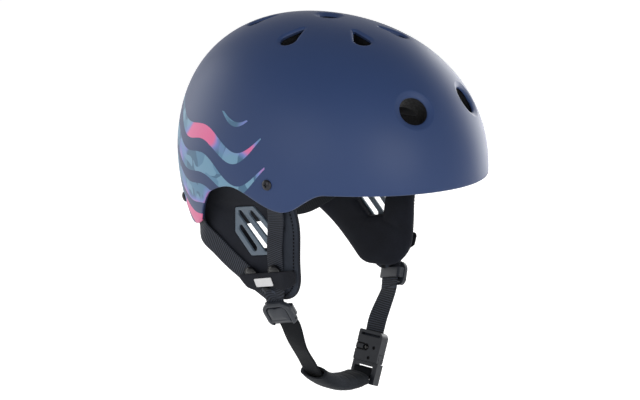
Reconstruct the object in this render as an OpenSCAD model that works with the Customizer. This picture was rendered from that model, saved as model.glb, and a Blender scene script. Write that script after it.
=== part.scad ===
// Water sports helmet: hard shell, foam lining, ear pads, webbing harness and a slide buckle.
// Millimetres. The front faces -Y, up is +Z and the wearer's left is +X.
// The origin is the middle of the head opening, level with the front brim.

/* [Shell] */
// Half of the shell's outer width
shell_half_w = 112; // [104:1:124]
// Reach of the dome in front of its middle
shell_front = 145; // [132:1:160]
// Reach of the dome behind its middle
shell_rear = 146; // [134:1:160]
// Rise of the crown above the dome's middle
crown_rise = 121; // [108:1:134]
// Depth of the dome below its middle, which sets how far the nape tucks in
dome_drop = 144; // [132:1:160]
// Squareness of the dome's upright section below its middle
drop_square = 1.8; // [1.7:0.05:2.2]
// Squareness of the dome's upright section, where 2 is an ellipse
dome_square = 2.23; // [2.05:0.01:2.5]
// Nose-down tilt of the dome in degrees
dome_tilt = 10.8; // [6:0.2:13]
// Height of the dome's middle above the brim
dome_mid_z = 5.7; // [2:0.1:10]
// Wall of the moulded shell
shell_wall = 3.5; // [2.5:0.1:4.5]

/* [Rim] */
// Where the level brim ends at the temples
brim_end_y = -77; // [-84:1:-66]
// Fore-and-aft place of the temple lobe
temple_y = -41; // [-48:1:-34]
// Drop of the temple lobe below the brim
temple_drop = 16.5; // [12:0.5:20]
// Fore-and-aft place of the top of the ear arch
ear_arch_y = 9; // [0:1:16]
// Drop of the ear arch below the brim
ear_arch_drop = 1.2; // [0:0.2:4]
// Fore-and-aft place of the rear lobe's lowest point
rear_lobe_y = 88; // [82:1:94]
// Drop of the rear lobe below the brim
rear_lobe_drop = 48.5; // [44:0.5:52]
// Drop of the rim at the nape below the brim
nape_drop = 40; // [34:1:46]

/* [Vents] */
// Diameter of the round front and rear vents
round_vent_d = 22; // [16:0.5:26]
// Diameter of the crown vent
crown_vent_d = 17; // [12:0.5:20]
// Width of the countersunk edge round each vent
vent_lip = 4.2; // [2:0.2:5]
// Depth of the countersunk edge
vent_lip_depth = 2.4; // [1.4:0.1:2.8]
// Length of a teardrop vent
drop_vent_len = 25; // [20:1:30]
// Width of a teardrop vent
drop_vent_w = 14; // [10:0.5:17]
// Width of the countersunk edge round a teardrop vent
drop_lip = 2.6; // [1.5:0.1:4]

/* [Lining] */
// Thickness of the foam liner
liner_t = 16; // [12:0.5:20]
// Gap between the shell and the liner
liner_gap = 0.9; // [0.8:0.05:1.2]
// Radius of the liner's crown block
liner_crown_r = 38; // [32:1:44]
// Gap between the liner's blocks
liner_seam = 0.6; // [0.4:0.1:1]
// Height of the liner's edge above the shell's rim
liner_setback = 5; // [3:0.5:8]
// Height of the liner's edge above the ears
ear_ceiling = 17; // [16:0.5:22]
// Thickness of the comfort pads
comfort_t = 8; // [5:0.5:11]

/* [Ear pads] */
// Distance of the ear pad's middle layer inside the shell's widest point
ear_inset = 37.5; // [34:0.5:40]
// Extra distance of the ear pad where it meets the shell
ear_flare = 17; // [14:0.5:19]
// Height above which the ear pad flares out to the shell
ear_bend_z = -46; // [-52:1:-40]
// Thickness of the ear pad
ear_t = 9; // [7:0.5:11]
// Length of the ear plate
plate_len = 51; // [44:1:56]
// Width of the ear plate
plate_w = 37; // [33:1:40]
// Thickness of the ear plate
plate_t = 2; // [1.6:0.1:2.6]
// Width of a slot in the ear plate
slot_w = 4.2; // [3:0.2:5.4]
// Distance between the slots
slot_pitch = 10.5; // [9:0.2:12]
// Length of the middle slot
slot_len = 42; // [34:1:44]

/* [Straps] */
// Width of the webbing in front of the ear
side_web_w = 17; // [13:0.5:18]
// Width of the webbing behind the ear
rear_web_w = 19; // [15:0.5:20]
// Width of the chin webbing
chin_web_w = 20; // [16:0.5:21]
// Thickness of all webbing
web_t = 1.6; // [1.2:0.1:1.8]
// Gap between layers of webbing
web_gap = 0.3; // [0.2:0.05:0.5]
// Gap between webbing and the foam that it lies on
lay_gap = 0.6; // [0.5:0.05:0.9]
// Thickness of the keeper's fabric
keeper_t = 1.5; // [1.2:0.1:2]
// Height of the nape band
nape_band_h = 12; // [9:0.5:15]

/* [Screws] */
// Diameter of a strap screw's shank
screw_d = 3.8; // [3:0.1:4.4]
// Diameter of a strap screw's head
screw_head_d = 8.6; // [7.6:0.2:10]
// Diameter of the nut plate inside
nut_d = 11; // [9.5:0.5:12.5]

/* [Strap dividers] */
// Width of a strap divider
divider_w = 29; // [28:0.5:32]
// Height of a strap divider
divider_h = 22; // [20:0.5:25]
// Thickness of the divider's face
divider_t = 4.6; // [4.4:0.1:5.4]
// Width of the flip lever
lever_w = 19.6; // [17:0.2:20]
// Diameter of the lever's hinge pin
lever_pin_d = 2; // [1.6:0.1:2.4]
// Radial running clearance of the lever on its pin
pin_clear = 0.05; // [0.03:0.01:0.08]

/* [Chin strap] */
// Radius of the curve that the chin strap hangs in
chin_r = 75.6; // [70:0.2:82]
// Length of the chin pad along the strap, in degrees of that curve
chin_pad_arc = 48; // [42:1:48]
// Width of the chin pad
chin_pad_w = 30; // [27:0.5:34]
// Thickness of the chin pad at its middle
chin_pad_t = 13.5; // [11:0.5:15]
// Height of the opening through the chin pad
chin_bore_h = 6.4; // [5.6:0.2:7]

/* [Buckle] */
// Width of the buckle
buckle_w = 27; // [25.5:0.5:30]
// Length of the upper half
socket_len = 27.5; // [25:0.5:30]
// Length of the lower half below the seam
tongue_len = 18; // [16:0.5:21]
// Thickness of the buckle
buckle_t = 9; // [8.4:0.2:10]
// Diameter of the magnets
magnet_d = 4; // [3:0.2:4.4]
// Side clearance of the slide rail
rail_clear = 0.35; // [0.3:0.05:0.45]

/* [Hidden] */
$fn = 48;

navy = [0.2, 0.25, 0.42];
black_foam = [0.08, 0.08, 0.09];
black_web = [0.13, 0.14, 0.16];
slate = [0.36, 0.43, 0.5];
graphite = [0.24, 0.26, 0.29];
steel = [0.5, 0.5, 0.52];

// Rim heights from front to rear, as [place, height] stops joined by a smooth curve
arch_fall = rear_lobe_y - ear_arch_y;
arch_depth = rear_lobe_drop - ear_arch_drop;
rim_stops = [[brim_end_y, 0], [temple_y, -temple_drop], [ear_arch_y, -ear_arch_drop],
    [ear_arch_y + 0.34 * arch_fall, -ear_arch_drop - 0.16 * arch_depth],
    [ear_arch_y + 0.53 * arch_fall, -ear_arch_drop - 0.5 * arch_depth],
    [ear_arch_y + 0.67 * arch_fall, -ear_arch_drop - 0.83 * arch_depth],
    [rear_lobe_y, -rear_lobe_drop], [shell_rear, -nape_drop]];
liner_stops = [[brim_end_y, liner_setback], [temple_y - 12, ear_ceiling],
    [ear_arch_y + 35, ear_ceiling], [rear_lobe_y + 6, liner_setback - nape_drop + 6],
    [shell_rear, liner_setback - nape_drop + 2]];
dome_steps = 64;
dome_rows = 14;
liner_steps = 40;
liner_rows = 9;
liner_in = shell_wall + liner_gap;
comfort_in = liner_in + liner_t + 2 * lay_gap;

// Vent places, as angles round from the front and down from the crown
front_vent_place = [14.7, 65.9];
rear_vent_place = [162, 58];
drop_vent_places = [[21.3, 28.5], [79.3, 26], [152.5, 26]];
crown_vent_place = [0, 1.4];

// Ear pad outline in the side view, as [y, z, corner radius]
ear_corners = [[-34, 5, 8], [46, 5, 16], [84, -26, 14], [90, -50, 9], [20, -104, 24],
    [-30, -101.5, 27]];
ear_x = shell_half_w - ear_inset;
ear_tuck = 0.004;
ear_tuck_z = -60;
ear_wrap = 6;
ear_wrap_y = 48;
ear_wrap_len = 36;
ear_steps = 46;
ear_h = ear_t / 2;
plate_mid = [14, -44.3];
plate_turn = 44.5;
plate_seat = ear_h - plate_t + 0.5;
slot_short = slot_len * 0.62;
window_share = 0.76;

// Layers over the ear pad's middle layer
plate_top = plate_seat + web_gap + plate_t;
over_plate_h = plate_top + lay_gap + web_t / 2;
web_h = ear_h + lay_gap + web_t / 2;
keeper_h = web_h + web_t / 2 + 2 * lay_gap;
keeper_top = keeper_h + keeper_t;
keeper_corners = [[34, -85.5, 3], [25, -95.5, 6], [14, -97, 4], [-3, -89, 10], [-20, -89.5, 10],
    [-29, -82, 5], [-29.5, -70.5, 3]];
label_corners = [[13.5, -85.4, 1], [11.7, -92.4, 1], [-8.3, -87.6, 1], [-6.6, -80.4, 1]];
label_t = 0.8;
guide_places = [18, 46];
guide_w = 12;
guide_rise = 5;

// Strap screws, as directions from the middle of the dome
temple_dir = [-0.977 * shell_half_w, -31.1, -0.2];
rear_dir = [-0.665 * shell_half_w, 97.5, -33];
exit_dir = [-0.68 * shell_half_w, 83, -51.7];
web_in = shell_wall + 1.4 + web_t / 2;
nut_t = 2.2;
nut_in = web_in + web_t / 2 + web_gap;
head_h = 2.4;

// Right strap divider: its middle, turn about Z, lean inwards and roll
divider_mid = [-ear_x - 2.1, -9.5, -112.5];
divider_turn = 13.5;
divider_lean = -24;
divider_roll = -15;
lever_h = 15.4;
lever_t = 3;
lever_gap = 0.4;
lever_axis = [-divider_h / 2 + 5.2, 0.2];
lever_barrel_r = lever_pin_d / 2 + 1.2;
bridge_z = -divider_t / 2 - 2 * (web_t + web_gap) - web_gap;
bridge_t = 1.5;
loop_h = divider_h * 0.4;

// Chin strap: the middle of its curve and where the pad's ends lie on it
chin_y = -9.5;
chin_mid = [16.5, chin_y, -119.7];
pad_rear_angle = -134;
pad_buckle_angle = pad_rear_angle + chin_pad_arc;
chin_steps = 12;
pad_sides = 20;

// Buckle: lean from upright, the middle of its top edge, and the sliding rail below the seam
buckle_lean = 23;
buckle_top = [46.8, chin_y, -159.4];
seam_gap = rail_clear;
rail_x = -buckle_w / 2 + 3;
neck_t = 3;
neck_h = 4;
rail_t = magnet_d + 1.6;
rail_h = 4;
magnet_t = 1.6;
magnet_x = -3;
bar_r = 1.6;
bar_y = -tongue_len + 7.5;
frame_x = chin_web_w / 2 + 0.4;
buckle_screw_places = [[6.7, 13], [3.2, 3.4]];
screw_hole_d = 3.2;
tab_w = 5;

function unit(v) = v / norm(v);
function signed_pow(v, e) = sign(v) * pow(abs(v), e);
function flatten(lists) = [for (list = lists) for (item = list) item];
function mean(points) = [for (k = [0:len(points[0]) - 1]) let (all = [for (p = points) p[k]])
    all * [for (p = points) 1] / len(points)];

// Height at y along a list of [y, z] stops: a cubic that never overshoots, level beyond both ends
function secant(stops, i) = (stops[i + 1][1] - stops[i][1]) / (stops[i + 1][0] - stops[i][0]);
function stop_slope(stops, i) =
    i == 0 || i == len(stops) - 1 ? 0
    : let (a = secant(stops, i - 1), b = secant(stops, i)) a * b <= 0 ? 0 : 2 * a * b / (a + b);
function height_at(stops, y, i = 0) =
    y <= stops[0][0] ? stops[0][1]
    : i == len(stops) - 1 ? stops[i][1]
    : y > stops[i + 1][0] ? height_at(stops, y, i + 1)
    : let (gap = stops[i + 1][0] - stops[i][0], t = (y - stops[i][0]) / gap, u = 1 - t)
        stops[i][1] * u * u * (1 + 2 * t) + stops[i + 1][1] * t * t * (1 + 2 * u)
        + gap * t * u * (stop_slope(stops, i) * u - stop_slope(stops, i + 1) * t);

// Point of the dome at an azimuth and a latitude, moved in from the outer face by inset
function dome_point(az, lat, inset) =
    let (r = pow(max(0, cos(lat)), 2 / dome_square),
        b = (sin(az) < 0 ? shell_front : shell_rear) - inset,
        c = (lat < 0 ? dome_drop : crown_rise) - inset,
        v = b * r * sin(az),
        w = c * signed_pow(sin(lat), 2 / (lat < 0 ? drop_square : dome_square)))
    [(shell_half_w - inset) * r * cos(az),
        v * cos(dome_tilt) - w * sin(dome_tilt),
        v * sin(dome_tilt) + w * cos(dome_tilt) + dome_mid_z];

// Latitude at which the dome meets the rim, found by halving
function rim_lat(az, inset, stops, above = 89, below = -78, n = 24) =
    let (half = (above + below) / 2, p = dome_point(az, half, inset))
    n == 0 ? half
    : p[2] > height_at(stops, p[1]) ? rim_lat(az, inset, stops, half, below, n - 1)
    : rim_lat(az, inset, stops, above, half, n - 1);

// Rings of points from just below the crown to the rim
function dome_rings(inset, stops, steps, rows) =
    let (turns = [for (i = [0:steps - 1]) 360 * i / steps],
        ends = [for (az = turns) rim_lat(az, inset, stops)])
    [for (j = [1:rows]) [for (i = [0:steps - 1])
        dome_point(turns[i], 90 - (90 - ends[i]) * j / rows, inset)]];

// Point of the dome in a direction from its middle: its distance is found in a few steps
function reach(a, b, e, r, n = 5) =
    n == 0 ? r
    : reach(a, b, e, r - (a * pow(r, dome_square) + b * pow(r, e) - 1)
        / (dome_square * a * pow(r, dome_square - 1) + e * b * pow(r, e - 1)), n - 1);
function dome_along(dir, inset) =
    let (d = unit(dir),
        v = d[1] * cos(dome_tilt) + d[2] * sin(dome_tilt),
        w = d[2] * cos(dome_tilt) - d[1] * sin(dome_tilt),
        b = (v < 0 ? shell_front : shell_rear) - inset,
        c = (w < 0 ? dome_drop : crown_rise) - inset,
        e = w < 0 ? drop_square : dome_square,
        flat = pow(pow(d[0] / (shell_half_w - inset), 2) + pow(v / b, 2), dome_square / 2))
    d * reach(flat, pow(abs(w) / c, e), e, shell_half_w) + [0, 0, dome_mid_z];

// Direction from the angles round from the front and down from the crown
function place_dir(round, down) = [sin(down) * sin(round), -sin(down) * cos(round), cos(down)];

// Outward normal of the dome in a direction from its middle
function dome_normal(dir) =
    let (d = unit(dir), side = unit(cross(d, abs(d[2]) > 0.9 ? [0, 1, 0] : [0, 0, 1])),
        other = cross(side, d),
        e = 0.01,
        p = dome_along(d, 0), q = dome_along(d + side * e, 0), r = dome_along(d + other * e, 0),
        n = unit(cross(q - p, r - p)))
    n * d < 0 ? -n : n;

// Distance of the ear pad's middle layer from the middle plane
function ear_layer(y, z) =
    ear_x + ear_flare * pow(max(0, 1 - z / ear_bend_z), 2) - ear_tuck * pow(min(0, z - ear_tuck_z), 2)
    - ear_wrap * pow(max(0, (y - ear_wrap_y) / ear_wrap_len), 2);
function on_ear(y, z, h) = [-ear_layer(y, z) - h, y, z];
function ear_out(y, z) =
    unit(cross(on_ear(y, z + 1, 0) - on_ear(y, z - 1, 0), on_ear(y + 1, z, 0) - on_ear(y - 1, z, 0)));
function ear_station(y, z, h) = [on_ear(y, z, h), ear_out(y, z)];

// Outline with rounded corners from [y, z, radius] corners
function rounded(corners, n = 6) =
    let (count = len(corners))
    flatten([for (i = [0:count - 1])
        let (c = [corners[i][0], corners[i][1]],
            prev = corners[(i + count - 1) % count],
            next = corners[(i + 1) % count],
            a = unit([prev[0], prev[1]] - c),
            b = unit([next[0], next[1]] - c),
            half = acos(a * b) / 2,
            reach = corners[i][2] / tan(half),
            hub = c + unit(a + b) * corners[i][2] / sin(half))
        [for (k = [0:n]) let (t = k / n,
            v = (c + a * reach - hub) * (1 - t) + (c + b * reach - hub) * t)
            hub + unit(v) * corners[i][2]]]);

// The same outline with evenly spaced points
function running_length(points, i = 0, total = 0) =
    i == len(points) ? [total]
    : concat([total], running_length(points, i + 1,
        total + norm(points[(i + 1) % len(points)] - points[i])));
function walk(points, lengths, s, i = 0) =
    s <= lengths[i + 1] || i == len(points) - 1
        ? let (t = (s - lengths[i]) / max(0.0001, lengths[i + 1] - lengths[i]))
            points[i] * (1 - t) + points[(i + 1) % len(points)] * t
        : walk(points, lengths, s, i + 1);
function spaced(points, n) =
    let (lengths = running_length(points))
    [for (k = [0:n - 1]) walk(points, lengths, lengths[len(points)] * k / n)];

// Smooth path through hand-chosen points
function spline(a, b, c, d, t) =
    0.5 * (2 * b + (c - a) * t + (2 * a - 5 * b + 4 * c - d) * t * t + (3 * b - a - 3 * c + d) * t * t * t);
function smooth(points, n = 4) =
    let (last = len(points) - 1)
    concat(flatten([for (i = [0:last - 1]) [for (k = [0:n - 1])
        spline(points[max(0, i - 1)], points[i], points[i + 1], points[min(last, i + 2)], k / n)]]),
        [points[last]]);

// Closed skin over rings of points, from a top point to a bottom point
module skin(top, rings, bottom) {
    n = len(rings[0]);
    m = len(rings);
    ends = m * n + 1;
    polyhedron(
        points = concat([top], flatten(rings), [bottom]),
        faces = concat(
            [for (i = [0:n - 1]) [0, 1 + (i + 1) % n, 1 + i]],
            flatten([for (j = [0:m - 2]) flatten([for (i = [0:n - 1])
                let (k = (i + 1) % n, a = 1 + j * n + i, b = 1 + j * n + k, c = b + n, d = a + n)
                [[a, b, c], [a, c, d]]])]),
            [for (i = [0:n - 1]) [ends, 1 + (m - 1) * n + i, 1 + (m - 1) * n + (i + 1) % n]]),
        convexity = 8);
}

// Closed skin over rings that return to the first ring
module ring_skin(rings) {
    n = len(rings[0]);
    m = len(rings);
    polyhedron(
        points = flatten(rings),
        faces = flatten([for (j = [0:m - 1]) flatten([for (i = [0:n - 1])
            let (k = (i + 1) % n, a = j * n + i, b = j * n + k, c = ((j + 1) % m) * n + k,
                d = ((j + 1) % m) * n + i)
            [[a, b, c], [a, c, d]]])]),
        convexity = 8);
}

// Flat webbing along smoothed stations, each a [point, outward direction]
module webbing(stations, width, n = 3) {
    run = smooth(stations, n);
    last = len(run) - 1;
    rings = [for (i = [0:last])
        let (p = run[i][0],
            t = unit(run[min(last, i + 1)][0] - run[max(0, i - 1)][0]),
            w = unit(cross(run[i][1], t)),
            across = w * width / 2,
            out = cross(t, w) * web_t / 2)
        [p - across - out, p - across + out, p + across + out, p + across - out]];
    skin(run[0][0], rings, run[last][0]);
}

// Slab over a part of the ear pad, with its faces at the given heights for each ring of its outline
module ear_slab(outline, shares, outer, inner) {
    hub = mean(outline);
    last = len(shares) - 1;
    function ring(s, h) = [for (p = outline) let (q = hub + (p - hub) * s) on_ear(q[0], q[1], h)];
    skin(on_ear(hub[0], hub[1], outer[0]),
        concat([for (k = [0:last]) ring(shares[k], outer[k])],
            [for (k = [last:-1:0]) ring(shares[k], inner[k])]),
        on_ear(hub[0], hub[1], inner[0]));
}

// Places its children on the dome, with Z along the outward normal
module on_dome(dir) {
    n = dome_normal(dir);
    translate(dome_along(dir, 0)) rotate([0, acos(n[2]), atan2(n[1], n[0])]) children();
}

// Copies its children to both sides
module both_sides() {
    children();
    mirror([1, 0, 0]) children();
}

// Cutter of a round vent: a hole with a countersunk edge
module round_vent(d, reach) {
    translate([0, 0, -reach]) cylinder(d = d, h = reach + 4, $fn = 32);
    translate([0, 0, -vent_lip_depth])
        cylinder(d1 = d, d2 = d + 4 * vent_lip, h = 2 * vent_lip_depth, $fn = 32);
}

// Cutter of a teardrop vent, with its point towards the crown
module drop_vent(reach) {
    round_r = drop_vent_w / 2;
    point_r = 1.2;
    point_x = drop_vent_len - round_r - point_r;
    translate([-point_x / 2, 0, 0]) {
        hull() {
            translate([point_x, 0, -reach]) cylinder(r = round_r, h = reach + 4, $fn = 24);
            translate([0, 0, -reach]) cylinder(r = point_r, h = reach + 4, $fn = 24);
        }
        hull() {
            for (z = [-vent_lip_depth, vent_lip_depth]) {
                grow = drop_lip * (z + vent_lip_depth) / vent_lip_depth;
                translate([point_x, 0, z]) cylinder(r = round_r + grow, h = 0.01, $fn = 24);
                translate([0, 0, z]) cylinder(r = point_r + grow, h = 0.01, $fn = 24);
            }
        }
    }
}

// All vents, cut to the given depth
module vents(reach) {
    both_sides() {
        for (place = [front_vent_place, rear_vent_place])
            on_dome(place_dir(place[0], place[1])) round_vent(round_vent_d, reach);
        for (place = drop_vent_places)
            on_dome(place_dir(place[0], place[1])) drop_vent(reach);
    }
    on_dome(place_dir(crown_vent_place[0], crown_vent_place[1])) round_vent(crown_vent_d, reach);
}

// Bores for the four strap screws
module screw_bores(extra) {
    both_sides() for (dir = [temple_dir, rear_dir])
        on_dome(dir) translate([0, 0, -nut_in - nut_t])
            cylinder(d = screw_d + extra, h = nut_in + nut_t + 4, $fn = 24);
}

// Moulded hard shell with its shaped rim and vents
module outer_shell() color(navy) {
    outer = dome_rings(0, rim_stops, dome_steps, dome_rows);
    inner = dome_rings(shell_wall, rim_stops, dome_steps, dome_rows);
    difference() {
        skin(dome_point(0, 90, 0), concat(outer, [for (j = [dome_rows - 1:-1:0]) inner[j]]),
            dome_point(0, 90, shell_wall));
        vents(2 * shell_wall + vent_lip_depth);
        screw_bores(0.3);
    }
}

// Foam lining inside the shell, with the vents carried through
module liner_body() {
    outer = dome_rings(liner_in, liner_stops, liner_steps, liner_rows);
    inner = dome_rings(liner_in + liner_t, liner_stops, liner_steps, liner_rows);
    difference() {
        skin(dome_point(0, 90, liner_in), concat(outer, [for (j = [liner_rows - 1:-1:0]) inner[j]]),
            dome_point(0, 90, liner_in + liner_t));
        vents(2 * (liner_in + liner_t));
        both_sides() on_dome(rear_dir) translate([0, 0, -nut_in - nut_t - 1])
            cylinder(r = 7 + rear_web_w / 2, h = 40, $fn = 24);
    }
}

// One block of the lining: a quarter turn round the crown block
module liner_block(turn) color(black_foam) difference() {
    intersection() {
        liner_body();
        rotate(turn) translate([liner_seam * 0.7, 0]) linear_extrude(400, center = true)
            polygon([[0, 0], [300, -300], [300, 300]]);
    }
    cylinder(r = liner_crown_r, h = 200);
}
module liner_front() liner_block(-90);
module liner_rear_half() intersection() {
    liner_block(90);
    translate([liner_seam / 2, 0, -200]) cube(400);
}
module liner_rear_right() mirror([1, 0, 0]) liner_rear_half();
module liner_rear_left() liner_rear_half();
module liner_right() liner_block(180);
module liner_left() liner_block(0);
module liner_crown() color(black_foam) intersection() {
    liner_body();
    cylinder(r = liner_crown_r - liner_seam, h = 200);
}

// Soft pad on the liner, crowned towards the head: its middle and half sizes are angles
module comfort_pad(place, half_round, half_down) {
    n = 24;
    shares = [0.45, 0.75, 0.93, 1];
    function crown(s) = comfort_t * sqrt(1 - 0.92 * pow(s, 6));
    function spot(s, k, inset) =
        let (c = cos(360 * k / n), q = sin(360 * k / n))
        dome_along(place_dir(place[0] + s * half_round * signed_pow(c, 0.6),
            place[1] + s * half_down * signed_pow(q, 0.6)),
            inset);
    skin(dome_along(place_dir(place[0], place[1]), comfort_in),
        concat([for (s = shares) [for (k = [n - 1:-1:0]) spot(s, k, comfort_in)]],
            [for (i = [len(shares) - 1:-1:0]) [for (k = [n - 1:-1:0])
                spot(shares[i], k, comfort_in + crown(shares[i]))]]),
        dome_along(place_dir(place[0], place[1]), comfort_in + comfort_t));
}

module crown_pad() color(black_foam) comfort_pad([180, 11], 70, 7);
module front_pad() color(black_foam) comfort_pad([0, 80], 30, 7.5);
module rear_pad() color(black_foam) comfort_pad([180, 82], 28, 13);
module side_pad_right() color(black_foam) comfort_pad([-82, 62], 26, 11);
module side_pad_left() color(black_foam) mirror([1, 0, 0]) comfort_pad([-82, 62], 26, 11);

// Outline of the ear plate in the side view
function plate_outline(grow) =
    let (l = plate_len / 2 + grow, w = plate_w / 2 + grow, f = plate_len / 4,
        shape = [[l, 0], [f, w], [-f, w], [-l, 0], [-f, -w], [f, -w]])
    [for (p = shape) [plate_mid[0] + p[0] * cos(plate_turn) - p[1] * sin(plate_turn),
        plate_mid[1] + p[0] * sin(plate_turn) + p[1] * cos(plate_turn), 2 + grow]];
function reversed(list) = [for (i = [len(list) - 1:-1:0]) list[i]];

// The three slots that let water and sound through the ear plate
module ear_slots(width) {
    for (k = [-1:1]) {
        l = (k == 0 ? slot_len : slot_short) - width;
        translate([0, plate_mid[0], plate_mid[1]]) rotate([plate_turn, 0, 0]) hull()
            for (end = [-1, 1])
                translate([-120, end * l / 2, k * slot_pitch]) rotate([0, 90, 0])
                    cylinder(d = width, h = 70, $fn = 24);
    }
}

// Foam ear pad: a crowned cushion with drawn-in edges, a seat for the plate and a window behind it
module ear_pad() {
    shares = [0.35, 0.65, 0.84, 0.94, 1];
    crown = [for (s = shares) ear_h * sqrt(1 - 0.96 * pow(s, 10))];
    seat = spaced(rounded(reversed(plate_outline(0.4))), 30);
    difference() {
        ear_slab(spaced(rounded(ear_corners), ear_steps), shares, crown, -crown);
        ear_slab(seat, [0.5, 1], [ear_t, ear_t], [plate_seat, plate_seat]);
        ear_slab([for (p = seat) plate_mid + (p - plate_mid) * window_share], [0.5, 1],
            [ear_t, ear_t], [-ear_t, -ear_t]);
    }
}
module ear_pad_right() color(black_foam) ear_pad();
module ear_pad_left() color(black_foam) mirror([1, 0, 0]) ear_pad();

// Six-sided moulded plate with three slots, seated in the ear pad
module ear_plate() {
    low = plate_seat + web_gap;
    difference() {
        ear_slab(spaced(rounded(reversed(plate_outline(0))), 30), [0.5, 1], [plate_top, plate_top],
            [low, low]);
        ear_slots(slot_w);
    }
}
module ear_plate_right() color(slate) ear_plate();
module ear_plate_left() color(slate) mirror([1, 0, 0]) ear_plate();

// Place in the strap divider's own frame: X along its width, Y up the strap, Z outwards
module at_divider() {
    translate(divider_mid) rotate([0, 0, divider_turn]) rotate([0, divider_lean, 0])
        rotate([divider_roll, 0, 0])
        rotate([90, 0, -90]) children();
}
function turn_x(v, a) = [v[0], v[1] * cos(a) - v[2] * sin(a), v[1] * sin(a) + v[2] * cos(a)];
function turn_y(v, a) = [v[0] * cos(a) + v[2] * sin(a), v[1], v[2] * cos(a) - v[0] * sin(a)];
function turn_z(v, a) = [v[0] * cos(a) - v[1] * sin(a), v[0] * sin(a) + v[1] * cos(a), v[2]];
function divider_turned(v) =
    turn_z(turn_y(turn_x([-v[2], -v[0], v[1]], divider_roll), divider_lean), divider_turn);
function divider_point(x, y, z) = divider_mid + divider_turned([x, y, z]);

// Front webbing: from the temple screw, over the ear pad, behind the divider's face
module front_strap() {
    n = dome_normal(temple_dir);
    root = dome_along(temple_dir, 0) - n * web_in;
    fall = [0, 14, -29];
    run = unit(fall - n * (fall * n));
    z = -divider_t / 2 - web_gap - web_t / 2;
    face = divider_turned([0, 0, 1]);
    difference() {
        webbing([[root - run * 6.5, n], [root, n], [root + run * 9 - n, n],
            ear_station(-18, -22, over_plate_h + 1.5), ear_station(-12.4, -39, over_plate_h),
            ear_station(-10.6, -56, over_plate_h), ear_station(-9.8, -73, web_h),
            ear_station(-9.2, -87, web_h + 0.08), ear_station(-8.9, -93.5, web_h + 3),
            [divider_point(0, divider_h / 2 + 2.5, z - 0.6), face],
            [divider_point(0, divider_h / 2 - 1.5, z - 0.2), face],
            [divider_point(0, divider_h / 4, z), face], [divider_point(0, 0, z), face]],
            side_web_w);
        screw_bores(0.5);
    }
}
module front_strap_right() color(black_web) front_strap();
module front_strap_left() color(black_web) mirror([1, 0, 0]) front_strap();

// Rear webbing: from the rear screw, along the ear pad's rear edge, sewn under the front webbing
module rear_strap() {
    n = dome_normal(rear_dir);
    root = dome_along(rear_dir, 0) - n * web_in;
    rim = dome_along(exit_dir, web_in + 1.2);
    fall = rim - root;
    run = unit(fall - n * (fall * n));
    difference() {
        webbing([[root - run * 6.5, n], [root, n], [root + run * 7, n],
            [rim, ear_out(83, -46) + dome_normal(exit_dir)],
            ear_station(73.3, -55.5, web_h + 1), ear_station(57.7, -63.8, web_h),
            ear_station(43.8, -72.5, web_h), ear_station(28.9, -81.4, web_h),
            ear_station(18, -88, web_h - 0.1), ear_station(9, -94, web_h - 0.8),
            ear_station(2, -98.5, web_h - 1)],
            rear_web_w);
        screw_bores(0.5);
    }
}
module rear_strap_right() color(black_web) rear_strap();
module rear_strap_left() color(black_web) mirror([1, 0, 0]) rear_strap();

// Fabric band sewn round the foot of the ear pad, which both straps run under
module strap_keeper() ear_slab(spaced(rounded(keeper_corners), 36), [0.5, 1],
    [keeper_top, keeper_top], [keeper_h, keeper_h]);
module strap_keeper_right() color(black_web) strap_keeper();
module strap_keeper_left() color(black_web) mirror([1, 0, 0]) strap_keeper();

// Half-round rubber guides that stand on the keeper's upper edge
module strap_guides() {
    first = keeper_corners[0];
    last = keeper_corners[len(keeper_corners) - 1];
    edge = unit([last[0] - first[0], last[1] - first[1]]);
    rise = [edge[1], -edge[0]];
    for (place = guide_places) {
        foot = [first[0], first[1]] + edge * place + rise * web_gap;
        ear_slab([for (k = [0:10])
            foot - edge * cos(18 * k) * guide_w / 2 + rise * sin(18 * k) * guide_rise],
            [0.6, 1], [keeper_top + 0.7, keeper_top], [keeper_h, keeper_h]);
    }
}
module strap_guides_right() color(graphite) strap_guides();
module strap_guides_left() color(graphite) mirror([1, 0, 0]) strap_guides();

// Bare woven label on the right keeper
module keeper_label() color("white") ear_slab(spaced(rounded(label_corners), 16), [0.5, 1],
    [keeper_top + web_gap + label_t, keeper_top + web_gap + label_t],
    [keeper_top + web_gap, keeper_top + web_gap]);

// Strap screws with domed heads and a cross recess
module strap_screw() {
    recess = screw_head_d * 0.42;
    difference() {
        union() {
            translate([0, 0, -nut_in - nut_t])
                cylinder(d = screw_d, h = nut_in + nut_t + 0.1, $fn = 24);
            translate([0, 0, 0.1]) intersection() {
                cylinder(d = screw_head_d, h = head_h);
                translate([0, 0, head_h - screw_head_d * 0.75])
                    sphere(d = screw_head_d * 1.5, $fn = 48);
            }
        }
        for (a = [0, 90]) rotate(a) translate([-recess / 2, -0.5, 1.1]) cube([recess, 1, head_h]);
    }
}
module temple_screws() color(steel) both_sides() on_dome(temple_dir) strap_screw();
module rear_screws() color(steel) both_sides() on_dome(rear_dir) strap_screw();

// Nut plates that clamp the webbing inside the shell
module nut_plate() {
    translate([0, 0, -nut_in - nut_t]) difference() {
        cylinder(d = nut_d, h = nut_t);
        translate([0, 0, -1]) cylinder(d = screw_d + 0.1, h = nut_t + 2, $fn = 24);
    }
}
module temple_nuts() color(steel) both_sides() on_dome(temple_dir) nut_plate();
module rear_nuts() color(steel) both_sides() on_dome(rear_dir) nut_plate();

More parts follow.
